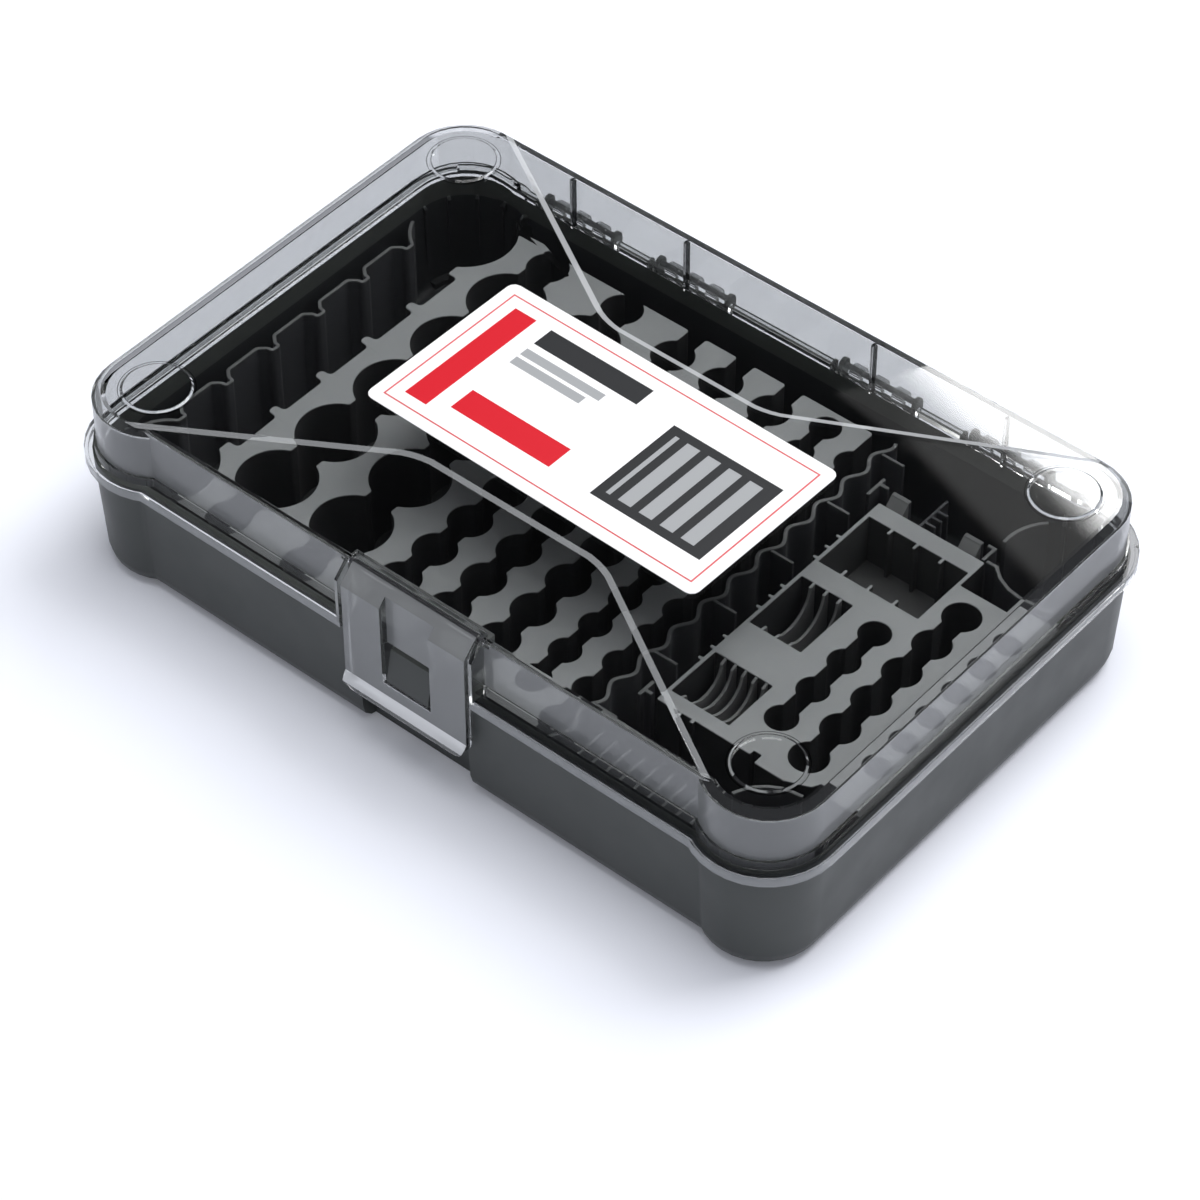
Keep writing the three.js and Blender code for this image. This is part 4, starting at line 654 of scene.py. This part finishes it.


# Lid. One thin moulding in clear polystyrene with a light smoke tint and polished faces. Its clips
# snap over the hinge bars. Satin skins paint light and shade on it: a painted highlight on the steps, a painted sheen
# on the walls and flange, painted shade on the skirt, and a pale satin on the back wall.
def clear_plastic(name, tint, painted_shade_where=None, skin=None):
    """Polished clear plastic with a smoke tint, very slightly wavy, that lets light through to what is
    below. The third argument, if given, gives the share of a line of painted shade in the plastic. A skin
    lies over it as a satin surface: its colour, its share at the front and at the back, and its shine."""
    paint = Paint(bpy.data.materials.new(name))
    # painted shade for the lines of the boss rings
    painted_line_shade = (0.06, 0.063, 0.065)
    paint.shade(
        Base_Color=paint.blend(painted_shade_where(paint), tint, painted_line_shade) if painted_shade_where else tint,
        Roughness=paint.spread(paint.noise(90.0), 0.4, 0.7, 0.01, 0.03),
        Normal=paint.bump(paint.noise(55.0, 1.0), 0.000002),
        IOR=1.46,
        Transmission_Weight=1.0,
        Specular_IOR_Level=0.4,
    )
    glossy = Value(paint, paint.nodes["Principled BSDF"].outputs[0])
    through = paint.node("ShaderNodeBsdfTransparent", {}, {"Color": tuple(c**0.5 for c in tint)})
    in_shadow = paint.node("ShaderNodeLightPath", {}, {}, "Is Shadow Ray")
    surface = paint.node("ShaderNodeMixShader", {}, {0: in_shadow, 1: glossy, 2: through})
    if skin:
        colour, front, back, shine = skin
        values = {"Base Color": colour, "Roughness": 0.35, "Specular IOR Level": shine}
        satin = paint.node("ShaderNodeBsdfPrincipled", {}, values)
        share = paint.spread(paint.axis("Y"), -0.04, 0.04, front, back)
        surface = paint.node("ShaderNodeMixShader", {}, {0: share, 1: surface, 2: satin})
    paint.put(paint.nodes["Material Output"].inputs["Surface"], surface)
    return paint.owner


def boss_ring_shade(paint):
    """1 on two thin rings of painted shade, at the foot and at the top edge of each stacking boss, and 0 elsewhere.
    """
    foot_ring, edge_ring, ring_low = (0.0122, 0.01248), (0.01074, 0.01102), 0.06935
    over_x, over_y = abs(paint.axis("X")) - column_x, abs(paint.axis("Y")) - column_y
    square = over_x * over_x + over_y * over_y
    foot, edge = [
        (square < outer**2) * (1.0 - (square < inner**2)) for inner, outer in (foot_ring, edge_ring)
    ]
    return (foot + edge) * (1.0 - (paint.axis("Z") < ring_low))


lid_tint = (0.745, 0.752, 0.75)
# Skins: a painted highlight on the panel steps, a painted sheen on the front and right walls and the flange, painted
# shade on the skirt and across the back fins, and a pale satin on the back wall's outer faces.
lid_skins = {
    "band_painted_highlight": ((0.82, 0.84, 0.86), 0.22, 0.4, 0.5),
    "wall_painted_sheen": ((0.235, 0.243, 0.245), 0.6, 0.5, 0.5),
    "skirt_painted_dim_shade": ((0.09, 0.093, 0.095), 0.6, 0.6, 0.5),
    "skirt_painted_shade": ((0.008, 0.009, 0.01), 0.7, 0.7, 0.0),
    "flange_painted_sheen": ((0.3, 0.31, 0.315), 0.6, 0.35, 0.5),
    "back_pale_satin": ((0.75, 0.77, 0.78), 0.16, 0.16, 0.5),
}
lid = finished_copy("lid", clear_plastic("lid_plastic", lid_tint, boss_ring_shade), 0.00014)
for name, skin in lid_skins.items():
    lid.data.materials.append(clear_plastic(name, lid_tint, boss_ring_shade, skin))


lid_heights = {
    "flange": (0.0, 0.0471),
    "flange_top": (0.047, 0.0472),
    "skirt": (0.0472, 0.0504),
    "fins": (0.05, 0.08),
    "wall": (0.0505, 0.0682),
    "back_wall": (0.0505, 0.08),
    "panel_steps": (0.068, 0.0696),
}


def lid_skin(face):
    """The skin on a face of the lid, by where the face lies and which way it points, or None if clear."""
    x, y, z = face.center
    normal = face.normal
    level = {part for part, (low, high) in lid_heights.items() if low < z < high}
    right = x > 0.12 and y > -0.075
    outer = (normal.y < -0.3 and y < -0.07) or (normal.x > 0.3 and x > 0.12)
    upright = abs(normal.z) < 0.2
    sloping_step = 0.9 < normal.z < 0.985 and abs(x) < 0.13 and face.area > 1e-6
    seen_flange_top = normal.z > 0.9 and (right or y < -0.085)
    across_back = abs(normal.x) > 0.98 and 0.088 < y < 0.0908
    if sloping_step and "panel_steps" in level:
        return "band_painted_highlight"
    if outer and upright and "wall" in level:
        return "wall_painted_sheen"
    if (outer and "skirt" in level) or (seen_flange_top and "flange_top" in level):
        return "skirt_painted_shade" if right else "skirt_painted_dim_shade"
    if outer and "flange" in level:
        return "flange_painted_sheen"
    if normal.y > 0.3 and y > 0.08 and "back_wall" in level:
        return "back_pale_satin"
    if across_back and "fins" in level:
        return "skirt_painted_shade"
    return None


skin_order = [None, *lid_skins]
for face in lid.data.polygons:
    face.material_index = skin_order.index(lid_skin(face))

# Card. A printed card that lies on the lid, white with a red bar under a satin film. Its print is plain
# blocks and lines, bare of words.
card_paint = Paint(bpy.data.materials.new("card"))
card_turn, card_x, card_y = math.radians(-1.0), -0.003, 0.001
from_x, from_y = card_paint.axis("X") - card_x, card_paint.axis("Y") - card_y
along = from_x * math.cos(card_turn) + from_y * math.sin(card_turn)
across = from_y * math.cos(card_turn) - from_x * math.sin(card_turn)


def printed(u, v, half_u, half_v):
    """1 inside a rectangle on the card whose middle is u, v, and 0 outside it; lengths in metres."""
    return (abs(along - u) < half_u) * (abs(across - v) < half_v)


mottle = card_paint.spread(card_paint.noise(300.0), 0.3, 0.7, 0.0, 1.0)
white = card_paint.blend(mottle, (0.86, 0.86, 0.86), (0.9, 0.9, 0.9))
red, black, pale = (0.62, 0.006, 0.018), (0.02, 0.021, 0.023), (0.35, 0.36, 0.37)
frame_line = printed(0.0, 0.0, 0.0633, 0.0308) - printed(0.0, 0.0, 0.0627, 0.0302)
bar_step, bar_width = 0.0042, 0.0026
zigzag = card_paint.node("ShaderNodeMath", {"operation": "PINGPONG"}, {0: along + 0.1, 1: bar_step})
print_layers = [
    (frame_line * 0.9, red),
    (printed(-0.054, 0.0, 0.0045, 0.026), red),
    (printed(-0.0215, 0.0215, 0.0215, 0.0042), black),
    (printed(-0.0265, 0.0125, 0.0165, 0.0018), pale),
    (printed(-0.0285, 0.0075, 0.0145, 0.0018), pale),
    (printed(-0.0225, -0.0165, 0.0205, 0.0052), red),
    (printed(0.037, -0.002, 0.022, 0.02), black),
    (printed(0.037, -0.002, 0.0185, 0.0165) * (zigzag < bar_width), pale),
]
ink = white
for mask, colour in print_layers:
    ink = card_paint.blend(mask, ink, colour)
finished_copy("lid_card", card_paint.shade(Base_Color=ink, Roughness=0.45, IOR=1.45), 0.0)

# Latch pin. A thin dark drawn steel wire, pushed through the lid's ears and the latch's barrel.
# The latch turns on it.
pin_paint = Paint(bpy.data.materials.new("pin_steel"))
pin_steel = pin_paint.shade(
    Base_Color=(0.06, 0.06, 0.065),
    Metallic=0.7,
    Roughness=pin_paint.spread(pin_paint.noise(700.0), 0.3, 0.7, 0.28, 0.4),
)
finished_copy("latch_pin", pin_steel, 0.0001)

# Latch. A flap moulded in the lid's clear plastic, which hangs on the pin. Its window snaps over the
# tub's catch, and its out-turned lip is what the finger lifts.
latch_tint = (0.7, 0.706, 0.705)
latch = finished_copy("latch", clear_plastic("latch_plastic", latch_tint), 0.0003, 3)
# The plate's front faces carry a painted sheen, and the lip's sloped face a painted highlight.
latch_skins = {
    "plate_painted_sheen": ((0.26, 0.268, 0.27), 0.6, 0.6, 0.5),
    "lip_painted_highlight": ((0.85, 0.86, 0.87), 0.7, 0.7, 0.5),
}
for name, skin in latch_skins.items():
    latch.data.materials.append(clear_plastic(name, latch_tint, None, skin))
lip_top, plate_painted_sheen, lip_painted_highlight = 0.0264, 1, 2
for face in latch.data.polygons:
    if face.normal.y < -0.6 and face.center.z > lip_top:
        face.material_index = plate_painted_sheen
    elif face.normal.y < -0.6 and face.normal.z > 0.4:
        face.material_index = lip_painted_highlight

# Studio. A white floor and a pale sky that is dark where the lid mirrors it, two wide soft lamps, and
# a strip lamp far behind the case for the bright corner of the lid.
floor_half = 6.0
floor_mesh = bpy.data.meshes.new("floor")
floor_corners = [(x, y, 0) for x, y in rectangle(-floor_half, floor_half, -floor_half, floor_half).tolist()]
floor_mesh.from_pydata(floor_corners, [], [(0, 1, 2, 3)])
floor = bpy.data.objects.new("floor", floor_mesh)
bpy.context.scene.collection.objects.link(floor)
floor_paint = Paint(bpy.data.materials.new("floor"))
floor_glow = 0.06
seen, glossy, through = [
    floor_paint.node("ShaderNodeLightPath", {}, {}, f"Is {kind} Ray") for kind in ("Camera", "Glossy", "Transmission")
]
floor_mesh.materials.append(floor_paint.shade(
    Base_Color=(0.86, 0.88, 0.95),
    Roughness=0.9,
    Specular_IOR_Level=0.0,
    Emission_Color=(1.0, 1.0, 1.0),
    Emission_Strength=(seen + glossy + through) * floor_glow,
))

world = bpy.data.worlds.new("studio")
bpy.context.scene.world = world
sky = Paint(world, ("ShaderNodeTexCoord", "Generated"))
mirrored = Vector((-0.45, 0.53, 0.716)).normalized()
towards = sky.node("ShaderNodeVectorMath", {"operation": "DOT_PRODUCT"}, {0: sky.place, 1: mirrored}, "Value")
sky_level, mirrored_level, dim_from, dim_to = 0.42, 0.02, 0.68, 0.9
background = sky.nodes["Background"]
sky.put(background.inputs["Color"], (0.93, 0.96, 1.05))
sky_strength = sky.spread(towards, dim_from, dim_to, sky_level, mirrored_level, "SMOOTHSTEP")
sky.put(background.inputs["Strength"], sky_strength)


def soft_lamp(name, place, target, width, height, power, turn=None):
    """A rectangular lamp that faces its target, or hangs level and turned by an angle in degrees."""
    lamp_data = bpy.data.lights.new(name, "AREA")
    lamp_data.shape = "RECTANGLE"
    lamp_data.size = width
    lamp_data.size_y = height
    lamp_data.energy = power
    lamp = bpy.data.objects.new(name, lamp_data)
    bpy.context.scene.collection.objects.link(lamp)
    lamp.location = place
    lamp.rotation_mode = "QUATERNION"
    if turn is None:
        lamp.rotation_quaternion = (Vector(target) - Vector(place)).to_track_quat("-Z", "Y")
    else:
        lamp.rotation_quaternion = Quaternion((0, 0, 1), math.radians(turn))
    return lamp


soft_lamp("key", (0.42, 1.05, 1.77), (0.0, 0.0, 0.03), 1.2, 1.2, 26.0)
soft_lamp("overhead", (0.1, 0.05, 1.8), (0.1, 0.05, 0.0), 1.2, 1.2, 17.5)
# The strip whose reflection lies over the lid's back right corner: bright there, with a faint lower
# part whose edge runs across the lid.
strip_lamp = soft_lamp("top", (-0.629, 1.339, 1.5), None, 0.45, 0.18, 4.0, -19.2)
strip = Paint(strip_lamp.data, ("ShaderNodeNewGeometry", "Parametric"))
faint, bright = [
    strip.spread(strip.axis("Y"), begin, full, 0.0, level, "SMOOTHSTEP")
    for begin, full, level in ((0.0, 0.09, 0.034), (0.34, 0.62, 0.966))
]
strip.put(strip.nodes["Emission"].inputs["Strength"], faint + bright)
